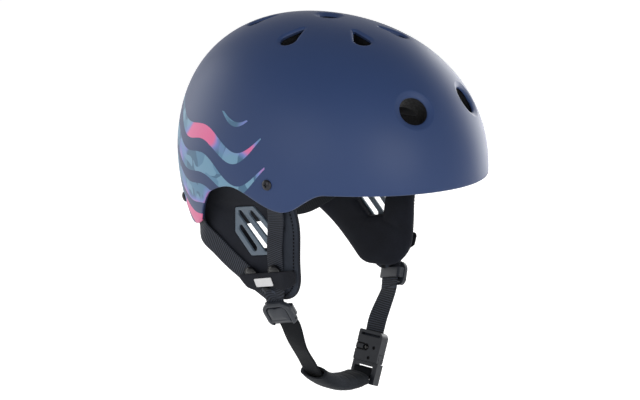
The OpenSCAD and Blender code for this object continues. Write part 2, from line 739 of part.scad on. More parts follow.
// Band from ear pad to ear pad round the nape
module nape_band() {
    h = -ear_h - lay_gap - web_t / 2;
    half = [ear_station(0, -6, h), ear_station(18, -15, h), ear_station(38, -29, h),
        ear_station(57, -44, h - 2),
        [[-0.738 * ear_x, 74, -56.5], [-1, 0.8, 0]], [[-0.604 * ear_x, 87, -60.5], [-1, 1, 0]],
        [[-0.336 * ear_x, 98, -62], [-0.4, 1, 0]]];
    function flip(v) = [-v[0], v[1], v[2]];
    color(graphite) webbing(concat(half, [[[0, 102, -62], [0, 1, 0]]],
        [for (i = [len(half) - 1:-1:0]) [flip(half[i][0]), flip(half[i][1])]]), nape_band_h);
}

// Strap divider: a rounded frame with a pocket for the lever, and a loop behind it for the webbing
module divider_frame() at_divider() {
    pocket_w = lever_w + 2 * lever_gap;
    pocket_top = lever_axis[0] + lever_h - lever_barrel_r + lever_gap;
    loop_back = bridge_z - bridge_t;
    wide = chin_web_w + 1.2;
    difference() {
        union() {
            linear_extrude(divider_t, center = true) hull() for (x = [-1, 1]) {
                translate([x * (divider_w / 2 - 8), divider_h / 2 - 8]) circle(8, $fn = 40);
                translate([x * (divider_w / 2 - 5.5), -divider_h / 2 + 5.5]) circle(5.5, $fn = 40);
            }
            rotate([90, 0, 0]) linear_extrude(loop_h, center = true) difference() {
                hull() for (x = [-1, 1]) {
                    translate([x * (divider_w / 2 - 4.5), loop_back + 4]) circle(4, $fn = 40);
                    translate([x * (divider_w / 2 - 2), -1]) circle(1, $fn = 24);
                }
                translate([-wide / 2, bridge_z]) square([wide, -bridge_z]);
            }
        }
        translate([-pocket_w / 2, -divider_h / 2 - 1, -divider_t / 2 + 0.9])
            cube([pocket_w, pocket_top + divider_h / 2 + 1, divider_t]);
        translate([-pocket_w / 2, lever_axis[0] - lever_barrel_r - lever_gap, -divider_t])
            cube([pocket_w, 2 * (lever_barrel_r + lever_gap), divider_t]);
        translate([0, lever_axis[0], lever_axis[1]]) rotate([0, 90, 0])
            cylinder(d = lever_pin_d + 0.04, h = divider_w + 2, center = true);
    }
}
module divider_frame_right() color(graphite) divider_frame();
module divider_frame_left() color(graphite) mirror([1, 0, 0]) divider_frame();

// Flip lever with a barrel on the pin and a hollow for the finger
module divider_lever() at_divider() {
    top = lever_axis[0] + lever_h - lever_barrel_r;
    low = -divider_t / 2 + 0.9 + lever_gap;
    difference() {
        union() {
            translate([-lever_w / 2, lever_axis[0], low]) cube([lever_w, top - lever_axis[0], lever_t]);
            translate([0, lever_axis[0], lever_axis[1]]) rotate([0, 90, 0])
                cylinder(r = lever_barrel_r, h = lever_w, center = true);
        }
        translate([0, top + lever_w * 0.5, low + lever_t]) rotate([12, 0, 0])
            cylinder(r = lever_w * 0.62, h = 2.2, center = true);
        translate([0, lever_axis[0], lever_axis[1]]) rotate([0, 90, 0])
            cylinder(d = lever_pin_d + 2 * pin_clear, h = divider_w, center = true);
    }
}
module divider_lever_right() color(graphite) divider_lever();
module divider_lever_left() color(graphite) mirror([1, 0, 0]) divider_lever();

// Hinge pin of the flip lever
module divider_pin() at_divider() translate([0, lever_axis[0], lever_axis[1]]) rotate([0, 90, 0])
    cylinder(d = lever_pin_d, h = divider_w - 1, center = true);
module divider_pin_right() color(steel) divider_pin();
module divider_pin_left() color(steel) mirror([1, 0, 0]) divider_pin();

// Outward direction and point on the curve of the chin strap
function chin_out(a) = [cos(a), 0, sin(a)];
function chin_point(a) = chin_mid + chin_r * chin_out(a);

// Chin webbing from the right divider down to the mouth of the pad
module chin_strap_upper() color(black_web) {
    z = -divider_t / 2 - 2 * web_gap - 1.5 * web_t;
    face = divider_turned([0, 0, 1]);
    end = pad_rear_angle + 1.9;
    webbing([[divider_point(0, 4, z), face], [divider_point(0, -divider_h / 2, z), face],
        [divider_point(0, -divider_h / 2 - 6, z), face], [[-55, chin_y, -145], chin_out(end)],
        [[-44, chin_y, -162], chin_out(end)], [chin_point(end - 4), chin_out(end)],
        [chin_point(end), chin_out(end)]], chin_web_w, 4);
}

// Chin webbing inside the pad, round the bar of the buckle and back
module chin_strap_lower() color(black_web) {
    start = pad_rear_angle + 2.4;
    sweep = pad_buckle_angle + 0.5 - start;
    loop_r = bar_r + web_gap + web_t / 2;
    webbing(concat(
        [for (k = [0:12]) let (a = start + sweep * k / 12) [chin_point(a), chin_out(a)]],
        [for (a = [20:-40:-180]) [buckle_point(0, bar_y + loop_r * cos(a), loop_r * sin(a)),
            -buckle_turned([0, cos(a), sin(a)])]],
        [[buckle_point(0, bar_y - loop_r - 0.8, 4), buckle_turned([0, 1, 0])]]), chin_web_w, 2);
}

// Chin webbing from the left divider down to the top of the buckle
module drop_strap() {
    z = -divider_t / 2 - 2 * web_gap - 1.5 * web_t;
    function flip(v) = [-v[0], v[1], v[2]];
    face = flip(divider_turned([0, 0, 1]));
    out = buckle_turned([0, 0, -1]);
    color(black_web) webbing([[flip(divider_point(0, 4, z)), face],
        [flip(divider_point(0, -divider_h / 2, z)), face],
        [flip(divider_point(0, -divider_h / 2 - 6, z)), face],
        [buckle_point(0, socket_len + 14, 0), out], [buckle_point(0, socket_len, 0), out],
        [buckle_point(0, socket_len - 4.6, 0), out]], chin_web_w, 4);
}

// Padded sleeve round the chin webbing, with a wide mouth away from the buckle
module chin_pad() {
    function swell(s) = 0.9 + 0.1 * sin(180 * s);
    function mouth(s) = 1 + 0.5 * pow(max(0, 1 - 3 * s), 2);
    function ring(s, w, t) = [for (k = [0:pad_sides - 1])
        let (a = pad_rear_angle + chin_pad_arc * s, c = 360 * k / pad_sides)
        chin_point(a) + [0, 1, 0] * w / 2 * signed_pow(cos(c), 0.75)
            + chin_out(a) * t / 2 * signed_pow(sin(c), 0.75)];
    color(black_foam) ring_skin(concat(
        [for (j = [0:chin_steps]) let (s = j / chin_steps)
            ring(s, chin_pad_w * (0.9 + 0.1 * swell(s)), chin_pad_t * swell(s))],
        [for (j = [chin_steps:-1:0]) let (s = j / chin_steps)
            ring(s, chin_web_w + 2.6, chin_bore_h * mouth(s))]));
}

// Place in the buckle's own frame: X forwards, Y up the strap, Z towards the head, from the seam
module at_buckle() {
    translate(buckle_top) rotate([0, buckle_lean, 0]) translate([0, 0, -socket_len])
        rotate([90, 0, -90]) children();
}
function buckle_turned(v) = turn_y([-v[2], -v[0], v[1]], buckle_lean);
function buckle_point(x, y, z) = buckle_top + buckle_turned([x, y - socket_len, z]);

// Upper half of the buckle: slot for the webbing, catch finger, and the channel for the rail
module buckle_socket() color(graphite) at_buckle() {
    face = buckle_t / 2;
    wide = chin_web_w + 1.2;
    top = neck_h + rail_h + rail_clear;
    difference() {
        linear_extrude(buckle_t, center = true) hull() {
            translate([-buckle_w / 2 + 1.5, socket_len - 1.5]) circle(1.5, $fn = 32);
            translate([buckle_w / 2 - 5, socket_len - 5]) circle(5, $fn = 32);
            for (x = [-1, 1]) translate([x * (buckle_w / 2 - 1), 1]) circle(1, $fn = 32);
        }
        translate([rail_x, -1, -neck_t / 2 - rail_clear])
            cube([buckle_w, 1 + top, neck_t + 2 * rail_clear]);
        translate([rail_x, neck_h - rail_clear, -rail_t / 2 - rail_clear])
            cube([buckle_w, rail_h + 2 * rail_clear, rail_t + 2 * rail_clear]);
        translate([magnet_x, top - 0.5, 0]) rotate([-90, 0, 0])
            cylinder(d = magnet_d + 0.3, h = magnet_t + 0.9);
        translate([-wide / 2, socket_len - 5, -web_t / 2 - 0.5]) cube([wide, 6, web_t + 1]);
        translate([-wide / 2, socket_len - 5, 0]) cube([wide, 2.4, buckle_t]);
        for (y = [9.2, 15]) translate([-buckle_w / 2 - 1, y, face - 0.9]) cube([10, 0.9, 2]);
        translate([-2.7, 12.4, face - 1.4]) cylinder(d = 5, h = 3);
        for (p = buckle_screw_places) translate([p[0], p[1], face - 1])
            cylinder(d = screw_hole_d, h = 3);
    }
}

// Lower half of the buckle: T rail, pull tab and the bar that the chin webbing loops round
module buckle_tongue() color(graphite) at_buckle() {
    half = buckle_w / 2;
    thick = buckle_t - 2;
    difference() {
        union() {
            translate([rail_x + rail_clear, -seam_gap - 1, -neck_t / 2])
                cube([half - rail_x - rail_clear, neck_h + seam_gap + 1.5, neck_t]);
            translate([rail_x + rail_clear, neck_h, -rail_t / 2])
                cube([half - rail_x - rail_clear, rail_h, rail_t]);
            translate([-half, -seam_gap - 3.2, -thick / 2]) cube([2 * half, 3.2, thick]);
            translate([-half, -tongue_len, -thick / 2])
                cube([half - frame_x, tongue_len - seam_gap, thick]);
            translate([frame_x, -tongue_len - 1, -thick / 2])
                cube([tab_w, tongue_len + 1 - seam_gap, buckle_t - 1]);
            translate([-half + 1, bar_y, 0]) rotate([0, 90, 0]) cylinder(r = bar_r, h = half + frame_x);
        }
        translate([magnet_x, neck_h + rail_h - magnet_t - 0.2, 0]) rotate([-90, 0, 0])
            cylinder(d = magnet_d + 0.3, h = magnet_t + 1);
    }
}

// Magnets that draw the two halves together, face to face across the top of the rail
module socket_magnet() color(steel) at_buckle()
    translate([magnet_x, neck_h + rail_h + 2 * rail_clear, 0]) rotate([-90, 0, 0])
        cylinder(d = magnet_d, h = magnet_t);
module tongue_magnet() color(steel) at_buckle()
    translate([magnet_x, neck_h + rail_h - magnet_t - 0.1, 0]) rotate([-90, 0, 0])
        cylinder(d = magnet_d, h = magnet_t);

// Two small screws in the face of the buckle
module buckle_screws() color(steel) at_buckle()
    for (p = buckle_screw_places) translate([p[0], p[1], buckle_t / 2 - 0.95])
        cylinder(d = screw_hole_d - 0.3, h = 0.5);

outer_shell();
liner_front();
liner_rear_right();
liner_rear_left();
liner_right();
liner_left();
liner_crown();
crown_pad();
front_pad();
rear_pad();
side_pad_right();
side_pad_left();
ear_pad_right();
ear_pad_left();
ear_plate_right();
ear_plate_left();
front_strap_right();
front_strap_left();
rear_strap_right();
rear_strap_left();
strap_keeper_right();
strap_keeper_left();
strap_guides_right();
strap_guides_left();
keeper_label();
temple_screws();
rear_screws();
temple_nuts();
rear_nuts();
nape_band();
divider_frame_right();
divider_frame_left();
divider_lever_right();
divider_lever_left();
divider_pin_right();
divider_pin_left();
chin_strap_upper();
chin_strap_lower();
drop_strap();
chin_pad();
buckle_socket();
buckle_tongue();
socket_magnet();
tongue_magnet();
buckle_screws();
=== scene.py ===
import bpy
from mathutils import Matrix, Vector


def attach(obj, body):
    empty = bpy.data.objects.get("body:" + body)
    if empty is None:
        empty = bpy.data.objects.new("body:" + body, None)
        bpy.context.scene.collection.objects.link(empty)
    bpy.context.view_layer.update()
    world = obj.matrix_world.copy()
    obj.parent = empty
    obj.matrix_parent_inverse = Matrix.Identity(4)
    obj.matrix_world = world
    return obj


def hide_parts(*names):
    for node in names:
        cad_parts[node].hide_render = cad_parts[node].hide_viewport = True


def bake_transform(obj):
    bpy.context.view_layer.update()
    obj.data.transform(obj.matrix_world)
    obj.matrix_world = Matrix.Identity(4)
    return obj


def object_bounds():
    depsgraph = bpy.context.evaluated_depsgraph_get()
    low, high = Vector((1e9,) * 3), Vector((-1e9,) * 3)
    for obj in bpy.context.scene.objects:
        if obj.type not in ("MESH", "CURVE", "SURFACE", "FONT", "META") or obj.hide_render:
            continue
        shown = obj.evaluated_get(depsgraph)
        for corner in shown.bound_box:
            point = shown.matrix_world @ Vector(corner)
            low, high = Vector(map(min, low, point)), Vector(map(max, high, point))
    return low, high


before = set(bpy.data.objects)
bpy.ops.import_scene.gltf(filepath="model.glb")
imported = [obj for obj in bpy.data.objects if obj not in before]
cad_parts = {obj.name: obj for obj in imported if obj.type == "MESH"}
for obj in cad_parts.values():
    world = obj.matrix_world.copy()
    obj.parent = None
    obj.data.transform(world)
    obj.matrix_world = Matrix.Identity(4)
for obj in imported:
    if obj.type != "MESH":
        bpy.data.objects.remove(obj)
cad_box = [list(corner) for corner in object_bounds()]

import math

import bmesh
import bpy
import numpy as np
from mathutils import Matrix, Vector
from mathutils.geometry import delaunay_2d_cdt

# Studio: a pale floor under a hanging product and four large soft lamps, at the front, on both sides and
# behind. The camera stands at the right front, above the brim, with a long lens.
scene = bpy.context.scene
scene.view_settings.view_transform = "Standard"
MM = 0.001


def linear(r, g, b):
    """A colour written as screen values from 0 to 255, as the shaders take it."""
    return tuple((v / 255 / 12.92 if v <= 10 else ((v / 255 + 0.055) / 1.055) ** 2.4) for v in (r, g, b)) + (1,)


def node(tree, kind, sockets=None, **settings):
    """A node with its settings; each socket takes a value or another node's output."""
    made = tree.nodes.new(kind)
    for key, value in settings.items():
        setattr(made, key, value)
    for key, value in (sockets or {}).items():
        if isinstance(value, bpy.types.NodeSocket):
            tree.links.new(value, made.inputs[key])
        else:
            made.inputs[key].default_value = value
    return made


def maths(tree, kind, *values):
    """The result of a sum over numbers and other nodes' outputs."""
    return node(tree, "ShaderNodeMath", dict(enumerate(values)), operation=kind).outputs[0]


def ranged(tree, value, source=(0.0, 1.0), target=(0.0, 1.0), way="LINEAR"):
    """A value carried over from one range to another."""
    sockets = dict(enumerate((value, *source, *target)))
    return node(tree, "ShaderNodeMapRange", sockets, interpolation_type=way).outputs[0]


def placed(name, data):
    """A new object round its data, in the scene."""
    made = bpy.data.objects.new(name, data)
    scene.collection.objects.link(made)
    return made


def rectangle(x0, y0, x1, y1):
    """Corners of a flat rectangle, in order."""
    return np.array(((x0, y0), (x1, y0), (x1, y1), (x0, y1)), float)


for name, place, size, watts in (
        ("left_softbox", (1.54, 0, 0.16), 1.4, 18), ("front_softbox", (-0.7, -1.3, 0.35), 1.0, 7),
        ("rear_softbox", (-0.2, 1.5, 0.35), 1.0, 5), ("right_softbox", (-1.45, 0, 0.45), 1.0, 3.6)):
    lamp = placed(name, bpy.data.lights.new(name, "AREA"))
    lamp.data.shape = "DISK"
    lamp.data.size, lamp.data.energy = size, watts
    lamp.location = place
    lamp.rotation_euler = (Vector() - Vector(place)).to_track_quat("-Z", "Y").to_euler()

# The room is dim overhead and bright near the horizon; the camera sees plain white
white = (1, 1, 1, 1)
scene.world = bpy.data.worlds.new("studio")
scene.world.use_nodes = True
tree = scene.world.node_tree
tree.nodes.clear()
rays = node(tree, "ShaderNodeLightPath").outputs
seen = maths(tree, "MAXIMUM", rays["Is Camera Ray"], rays["Is Transmission Ray"])
sky = node(tree, "ShaderNodeTexCoord")
height = node(tree, "ShaderNodeSeparateXYZ", {0: sky.outputs["Generated"]})
glow = ranged(tree, height.outputs["Z"], (0.0, 0.8), (0.96, 0.24), "SMOOTHSTEP")
room = node(tree, "ShaderNodeBackground", {"Color": white, "Strength": glow})
plain = node(tree, "ShaderNodeBackground", {"Color": white, "Strength": 1.0})
both = node(tree, "ShaderNodeMixShader", {0: seen, 1: room.outputs[0], 2: plain.outputs[0]})
node(tree, "ShaderNodeOutputWorld", {"Surface": both.outputs[0]})

floor_half, floor_drop = 7, 0.11
corners = rectangle(-floor_half, -floor_half, floor_half, floor_half)
floor = placed("floor", bpy.data.meshes.new("floor"))
floor.data.from_pydata([(x, y, cad_box[0][2] - floor_drop) for x, y in corners], [], [(0, 1, 2, 3)])
paper = bpy.data.materials.new("floor_paper")
paper.use_nodes = True
tree = paper.node_tree
tree.nodes.clear()
rays = node(tree, "ShaderNodeLightPath").outputs
seen = maths(tree, "MAXIMUM", rays["Is Camera Ray"], rays["Is Glossy Ray"])
matt = node(tree, "ShaderNodeBsdfDiffuse", {"Color": (0.8, 0.8, 0.8, 1)})
lift = node(tree, "ShaderNodeEmission", {"Color": white, "Strength": 0.72})
raised = node(tree, "ShaderNodeAddShader", {0: matt.outputs[0], 1: lift.outputs[0]})
both = node(tree, "ShaderNodeMixShader", {0: seen, 1: matt.outputs[0], 2: raised.outputs[0]})
node(tree, "ShaderNodeOutputMaterial", {"Surface": both.outputs[0]})
floor.data.materials.append(paper)

azimuth, elevation, roll = (math.radians(a) for a in (-48.085, 13.042, -1.074))
aim, distance, focal_length = Vector((-12.763, 0, -28.811)) * MM, 1.2712, 84.02
level = math.cos(elevation)
back = Vector((math.sin(azimuth) * level, -math.cos(azimuth) * level, math.sin(elevation)))
right = Vector((math.cos(azimuth), math.sin(azimuth), 0))
up = back.cross(right)
turned_right = right * math.cos(roll) + up * math.sin(roll)
turned_up = up * math.cos(roll) - right * math.sin(roll)
camera = placed("camera", bpy.data.cameras.new("camera"))
camera.data.lens, camera.data.clip_end = focal_length, 50
turned = Matrix((turned_right, turned_up, back)).transposed().to_4x4()
camera.matrix_world = Matrix.Translation(aim + back * distance) @ turned
scene.camera = camera


# Outer shell: one hard moulded dome with a swept rim, eleven vents with sunk soft edges, matt navy
# paint and a printed band of ripples round the back. It is the piece that all the rest hangs from.
def mesh_of(name, points, faces):
    """A mesh from points in millimetres."""
    mesh = bpy.data.meshes.new(name)
    mesh.from_pydata((np.asarray(points, float) * MM).tolist(), [], [list(map(int, f)) for f in faces])
    return mesh


def outward(mesh, weld=0.0):
    """Turns the faces of a closed mesh outwards, after joining points that lie within weld metres."""
    form = bmesh.new()
    form.from_mesh(mesh)
    if weld:
        bmesh.ops.remove_doubles(form, verts=form.verts, dist=weld)
    bmesh.ops.recalc_face_normals(form, faces=form.faces)
    form.to_mesh(mesh)
    form.free()


def piece(name, points, faces, material, slot, body="helmet", nodes=(), uv=None, sharp=40):
    """A named mesh from points in millimetres, smooth but for its sharp edges, riding on its body."""
    mesh = mesh_of(name, points, faces)
    if uv is not None:
        loops = np.zeros(len(mesh.loops), np.int32)
        mesh.loops.foreach_get("vertex_index", loops)
        mesh.uv_layers.new(name="UVMap").data.foreach_set("uv", np.asarray(uv, np.float32)[loops].ravel())
    return settle(name, mesh, material, body, nodes, sharp)


def settle(name, mesh, material, body, nodes, sharp):
    """Finishes a mesh in metres: outward normals, smooth shading, material and its place in the frame."""
    outward(mesh, weld=1e-7)
    mesh.shade_smooth()
    mesh.set_sharp_from_angle(angle=math.radians(sharp))
    mesh.materials.clear()
    mesh.materials.append(material)
    made = placed(name, mesh)
    if nodes:
        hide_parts(*nodes)
    if body:
        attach(made, body)
    return made


def evaluated(made):
    """The mesh of an object with its live modifiers applied."""
    bpy.context.view_layer.update()
    return bpy.data.meshes.new_from_object(made.evaluated_get(bpy.context.evaluated_depsgraph_get()))


def plain_mesh(made, name):
    """The evaluated mesh of an object; the object itself is removed."""
    result = evaluated(made)
    result.name = name
    bpy.data.objects.remove(made)
    return result


def unit(v):
    v = np.asarray(v, float)
    return v / np.linalg.norm(v, axis=-1, keepdims=True)


def signed_pow(v, e):
    return np.sign(v) * np.abs(v) ** e


def dome_height(stops, y):
    """Height of a rim at y along its (y, z) stops: a cubic that never overshoots, level at both ends."""
    ys, zs = np.array(stops, float).T
    gap = np.diff(ys)
    before, after = (np.diff(zs) / gap)[:-1], (np.diff(zs) / gap)[1:]
    same_way = before * after > 0
    slope = np.zeros(len(ys))
    slope[1:-1] = np.where(same_way, 2 * before * after / np.where(same_way, before + after, 1), 0)
    i = np.clip(np.searchsorted(ys, y) - 1, 0, len(gap) - 1)
    t = np.clip((y - ys[i]) / gap[i], 0, 1)
    u = 1 - t
    return (zs[i] * u * u * (1 + 2 * t) + zs[i + 1] * t * t * (1 + 2 * u)
            + gap[i] * t * u * (slope[i] * u - slope[i + 1] * t))


dome_half_w, dome_front, dome_rear, dome_rise, dome_drop = 112, 145, 146, 121, 144
dome_square, drop_square = 2.23, 1.8
dome_tilt, dome_mid = math.radians(10.8), np.array((0, 0, 5.7))


def dome_point(az, lat, inset):
    """Point of the shell's outer face at an azimuth and a latitude in degrees, moved in by inset."""
    az, lat = np.radians(az), np.radians(lat)
    r = np.maximum(0, np.cos(lat)) ** (2 / dome_square)
    v = (np.where(np.sin(az) < 0, dome_front, dome_rear) - inset) * r * np.sin(az)
    w = (np.where(lat < 0, dome_drop, dome_rise) - inset) * signed_pow(
        np.sin(lat), 2 / np.where(lat < 0, drop_square, dome_square))
    return np.stack([(dome_half_w - inset) * r * np.cos(az),
                     v * math.cos(dome_tilt) - w * math.sin(dome_tilt),
                     v * math.sin(dome_tilt) + w * math.cos(dome_tilt) + dome_mid[2]], -1)


def dome_along(direction, inset):
    """Point of the dome in a direction from its middle; its distance is found in a few steps."""
    d = unit(direction)
    v = d[..., 1] * math.cos(dome_tilt) + d[..., 2] * math.sin(dome_tilt)
    w = d[..., 2] * math.cos(dome_tilt) - d[..., 1] * math.sin(dome_tilt)
    b = np.where(v < 0, dome_front, dome_rear) - inset
    c = np.where(w < 0, dome_drop, dome_rise) - inset
    q, e = dome_square, np.where(w < 0, drop_square, dome_square)
    flat = ((d[..., 0] / (dome_half_w - inset)) ** 2 + (v / b) ** 2) ** (q / 2)
    tall = (np.abs(w) / c) ** e
    r = np.full_like(v, dome_half_w)
    for _ in range(5):
        r = r - (flat * r ** q + tall * r ** e - 1) / (q * flat * r ** (q - 1) + e * tall * r ** (e - 1))
    return d * r[..., None] + dome_mid


def dome_normal(direction):
    d = unit(direction)
    side = unit(np.cross(d, (0, 1, 0) if abs(d[2]) > 0.9 else (0, 0, 1)))
    p, q, r = (dome_along(d + step, 0) for step in (d * 0, side * 0.01, np.cross(side, d) * 0.01))
    n = unit(np.cross(q - p, r - p))
    return n if n @ d > 0 else -n


def vent_direction(turn, down):
    """Direction from the angles round from the front and down from the crown."""
    turn, down = math.radians(turn), math.radians(down)
    return np.array((math.sin(down) * math.sin(turn), -math.sin(down) * math.cos(turn), math.cos(down)))


def dome_frame(direction, twist=0):
    """Seat on the dome: its point, the way down from the crown (turned by twist), the way across and the normal."""
    n, twist = dome_normal(direction), math.radians(twist)
    flat = math.hypot(n[0], n[1])
    down = np.array((n[0] / flat * n[2], n[1] / flat * n[2], -flat))
    down = math.cos(twist) * down + math.sin(twist) * np.cross(n, down)
    return dome_along(direction, 0), down, np.cross(n, down), n


def rim_latitude(az, inset, stops, lift):
    """Latitude at which the dome meets its rim, lifted a little, found by halving."""
    low, high = np.full_like(az, -78.0), np.full_like(az, 89.0)
    for _ in range(30):
        half = (low + high) / 2
        p = dome_point(az, half, inset)
        above = p[:, 2] > dome_height(stops, p[:, 1]) + lift
        high, low = np.where(above, half, high), np.where(above, low, half)
    return (low + high) / 2


def closed_rings(rows, count):
    """Faces over rings of points between a first and a last point."""
    last = rows * count + 1
    faces = []
    for i in range(count):
        k = (i + 1) % count
        faces.append((0, 1 + i, 1 + k))
        faces.append((last, last - count + k, last - count + i))
        for j in range(rows - 1):
            a = 1 + j * count
            faces.append((a + i, a + count + i, a + count + k, a + k))
    return faces


def dome_wall(insets, stops, steps, rows, lip, lip_steps=8):
    """Closed wall between two insets, with a rounded rim."""
    az, pole = np.arange(steps) * 360 / steps, (np.array([0.0]), np.array([90.0]))
    outer, inner = insets
    sides, rim = [], []
    for inset, count in zip(insets, rows):
        ends = rim_latitude(az, inset, stops, lip)
        sides.append([dome_point(az, 90 - (90 - ends) * j / count, inset) for j in range(1, count + 1)])
    for share in np.arange(1, lip_steps) / lip_steps:
        lift = lip * (1 - math.sqrt(1 - (2 * share - 1) ** 2))
        inset = outer + (inner - outer) * share
        rim.append(dome_point(az, rim_latitude(az, inset, stops, lift), inset))
    rings = sides[0] + rim + sides[1][::-1]
    points = [dome_point(*pole, outer)] + rings + [dome_point(*pole, inner)]
    return np.concatenate(points), closed_rings(len(rings), steps)


rim_stops = [(-77, 0), (-41, -16.5), (9, -1.2), (35.86, -8.768), (50.87, -24.85), (61.93, -40.459), (88, -48.5),
             (146, -40)]
shell_wall, vent_sink = 3.5, 2.4
vent_r, vent_sides = {"round": 11.7, "crown": 8.5}, 72
drop_big, drop_small, drop_reach = 7, 1.2, 16.8
vents = [(dome_frame(vent_direction(s * turn, down), s * twist), kind, lip)
         for turn, down, twist, kind, lip in (
             (16.0, 65.0, 0, "round", 4.6), (162, 58, 0, "round", 4.6), (21.3, 26.7, 0, "drop", 2.4),
             (79.3, 24.2, 20, "drop", 2.4), (152.5, 24.2, 0, "drop", 2.4))
         for s in (1, -1)] + [(dome_frame(vent_direction(0, 1.4)), "crown", 4.2)]


def vent_edge(kind, x, y):
    """Distance outside a vent's edge, in its own plane: a circle, or a drop with its point uphill."""
    if kind != "drop":
        return np.hypot(x, y) - vent_r[kind]
    along, across = drop_reach / 2 - x, np.abs(y)
    slope = (drop_big - drop_small) / drop_reach
    rise = math.sqrt(1 - slope * slope)
    k = across * -slope + along * rise
    edge = across * rise + along * slope - drop_big
    edge = np.where(k < 0, np.hypot(across, along) - drop_big, edge)
    return np.where(k > rise * drop_reach, np.hypot(across, along - drop_reach) - drop_small, edge)


def circle(count, radius):
    turn = np.arange(count) * 2 * math.pi / count
    return np.stack([np.cos(turn), np.sin(turn)], 1) * radius


def vent_outline(kind, grow):
    if kind != "drop":
        return circle(vent_sides, vent_r[kind] + grow)
    way = circle(vent_sides, 1)
    big = np.array((drop_reach / 2, 0)) + way * (drop_big + grow)
    small = np.array((-drop_reach / 2, 0)) + way * (drop_small + grow)
    return np.where(((big - small) * way).sum(1, keepdims=True) > 0, big, small)


def prism(*rings):
    """A closed solid over rings of points, with flat ends."""
    count, top = len(rings[0]), (len(rings) - 1) * len(rings[0])
    walls = [(a + i, a + (i + 1) % count, a + count + (i + 1) % count, a + count + i)
             for a in range(0, top, count) for i in range(count)]
    return np.concatenate(rings), walls + [list(range(count)), list(range(top, top + count))]


def dome_cutter(seat, ring, reach, clear=6):
    """A straight cutter through the dome, from reach inside its outer face to clear of it."""
    p, down, across, n = seat
    flat = p + ring[:, :1] * down + ring[:, 1:] * across
    return prism(flat - n * reach, flat + n * clear)


def blank(name, points, faces):
    """An object to be cut or swollen, from points in millimetres."""
    mesh = mesh_of(name, points, faces)
    outward(mesh)
    return placed(name, mesh)


def joined(parts):
    """Several (points, faces) as one."""
    points, faces = [], []
    for p, f in parts:
        faces += [[len(points) + i for i in face] for face in f]
        points += list(p)
    return np.array(points), faces


def cut(made, cutters, name, operation="DIFFERENCE"):
    """Takes closed cutters, each (points, faces) in millimetres, out of an object or a mesh; the other
    operations add them to it, or keep only what is in them."""
    if isinstance(made, bpy.types.Mesh):
        made = placed(made.name, made)
    tool = blank("cutters", *joined(cutters))
    trim = made.modifiers.new("cut", "BOOLEAN")
    trim.object = tool
    trim.operation = operation
    trim.solver = "MANIFOLD"
    result = plain_mesh(made, name)
    bpy.data.objects.remove(tool)
    return result


temple_dir, rear_dir = np.array((-109.424, -31.1, -0.2)), np.array((-74.48, 97.5, -33))
mirror = np.array((-1, 1, 1))
vent_reach, face_depth, deepest, screw_hole_r, cut_depth = 30, 2.8, 3.1, 2.05, 9
lip_ease, edge_roll, edge_r = 0.6, 0.6, 0.9


def near_vent(points, seat, kind):
    """Which points of the shell's outer face lie round a vent, and how far each is outside its edge."""
    p, down, across, n = seat
    d = points - p
    close = (np.einsum("ij,ij->i", d, d) < vent_reach ** 2) & (d @ n > -face_depth)
    return close, vent_edge(kind, d @ down, d @ across)


shell_blank = blank("shell_blank", *dome_wall((0, shell_wall), rim_stops, steps=384, rows=(96, 24), lip=1.3))
form = bmesh.new()
form.from_mesh(shell_blank.data)
centres = np.array([face.calc_center_median() for face in form.faces]) / MM
sunk = np.zeros(len(centres), bool)
for seat, kind, lip in vents:
    close, edge = near_vent(centres, seat, kind)
    sunk |= close & (edge < lip + 2)
form.faces.ensure_lookup_table()
near = {edge for i in np.flatnonzero(sunk) for edge in form.faces[i].edges}
bmesh.ops.subdivide_edges(form, edges=sorted(near, key=lambda edge: edge.index), cuts=3, use_grid_fill=True)
co = np.array([v.co for v in form.verts]) / MM
moved = co.copy()
for seat, kind, lip in vents:
    close, edge = near_vent(co, seat, kind)
    depth, fall = (vent_sink / 2, 1.7) if kind == "drop" else (vent_sink, 1.2)
    slope = depth * np.clip(1 - edge / (lip + lip_ease), 0, 1.15) ** fall
    slope += edge_roll * np.clip(1 - edge / edge_r, 0, 1.2) ** 2
    moved -= np.where(close, np.minimum(slope, deepest), 0)[:, None] * seat[3]
for vert, place in zip(form.verts, moved):
    vert.co = place * MM
form.to_mesh(shell_blank.data)
form.free()
outward(shell_blank.data)
cutters = [dome_cutter(seat, vent_outline(kind, 0), cut_depth) for seat, kind, lip in vents]
cutters += [dome_cutter(dome_frame(d * m), circle(32, screw_hole_r), cut_depth)
            for d in (temple_dir, rear_dir) for m in (1, mirror)]
mesh = cut(shell_blank, cutters, "outer_shell_body")


def mixed(tree, share, first, other):
    """A colour between two others."""
    return node(tree, "ShaderNodeMix", {0: share, 6: first, 7: other}, data_type="RGBA").outputs[2]


def pattern(tree, kind, scale, **sockets):
    """A noise or cell texture over the piece's own space."""
    place = node(tree, "ShaderNodeTexCoord")
    return node(tree, kind, {"Vector": place.outputs["Object"], "Scale": scale, **sockets}).outputs


def shader_group(name, inputs, outputs):
    """An empty node group with named number inputs and outputs."""
    tree = bpy.data.node_groups.new(name, "ShaderNodeTree")
    for label, value in inputs.items():
        tree.interface.new_socket(label, in_out="INPUT", socket_type="NodeSocketFloat").default_value = value
    for label in outputs:
        tree.interface.new_socket(label, in_out="OUTPUT", socket_type="NodeSocketFloat")
    return tree, tree.nodes.new("NodeGroupInput").outputs, tree.nodes.new("NodeGroupOutput").inputs


def grain_group():
    """Fine moulded or painted grain, with slow clouds of uneven finish; sizes are in millimetres."""
    tree, given, result = shader_group("fine_grain", {"Grain": 0.5, "Cloud": 40.0}, ("Height", "Cloud"))
    for size, label, detail in (("Grain", "Height", 2.0), ("Cloud", "Cloud", 3.0)):
        scale = maths(tree, "DIVIDE", 1 / MM, given[size])
        tree.links.new(pattern(tree, "ShaderNodeTexNoise", scale, Detail=detail)["Fac"], result[label])
    return tree


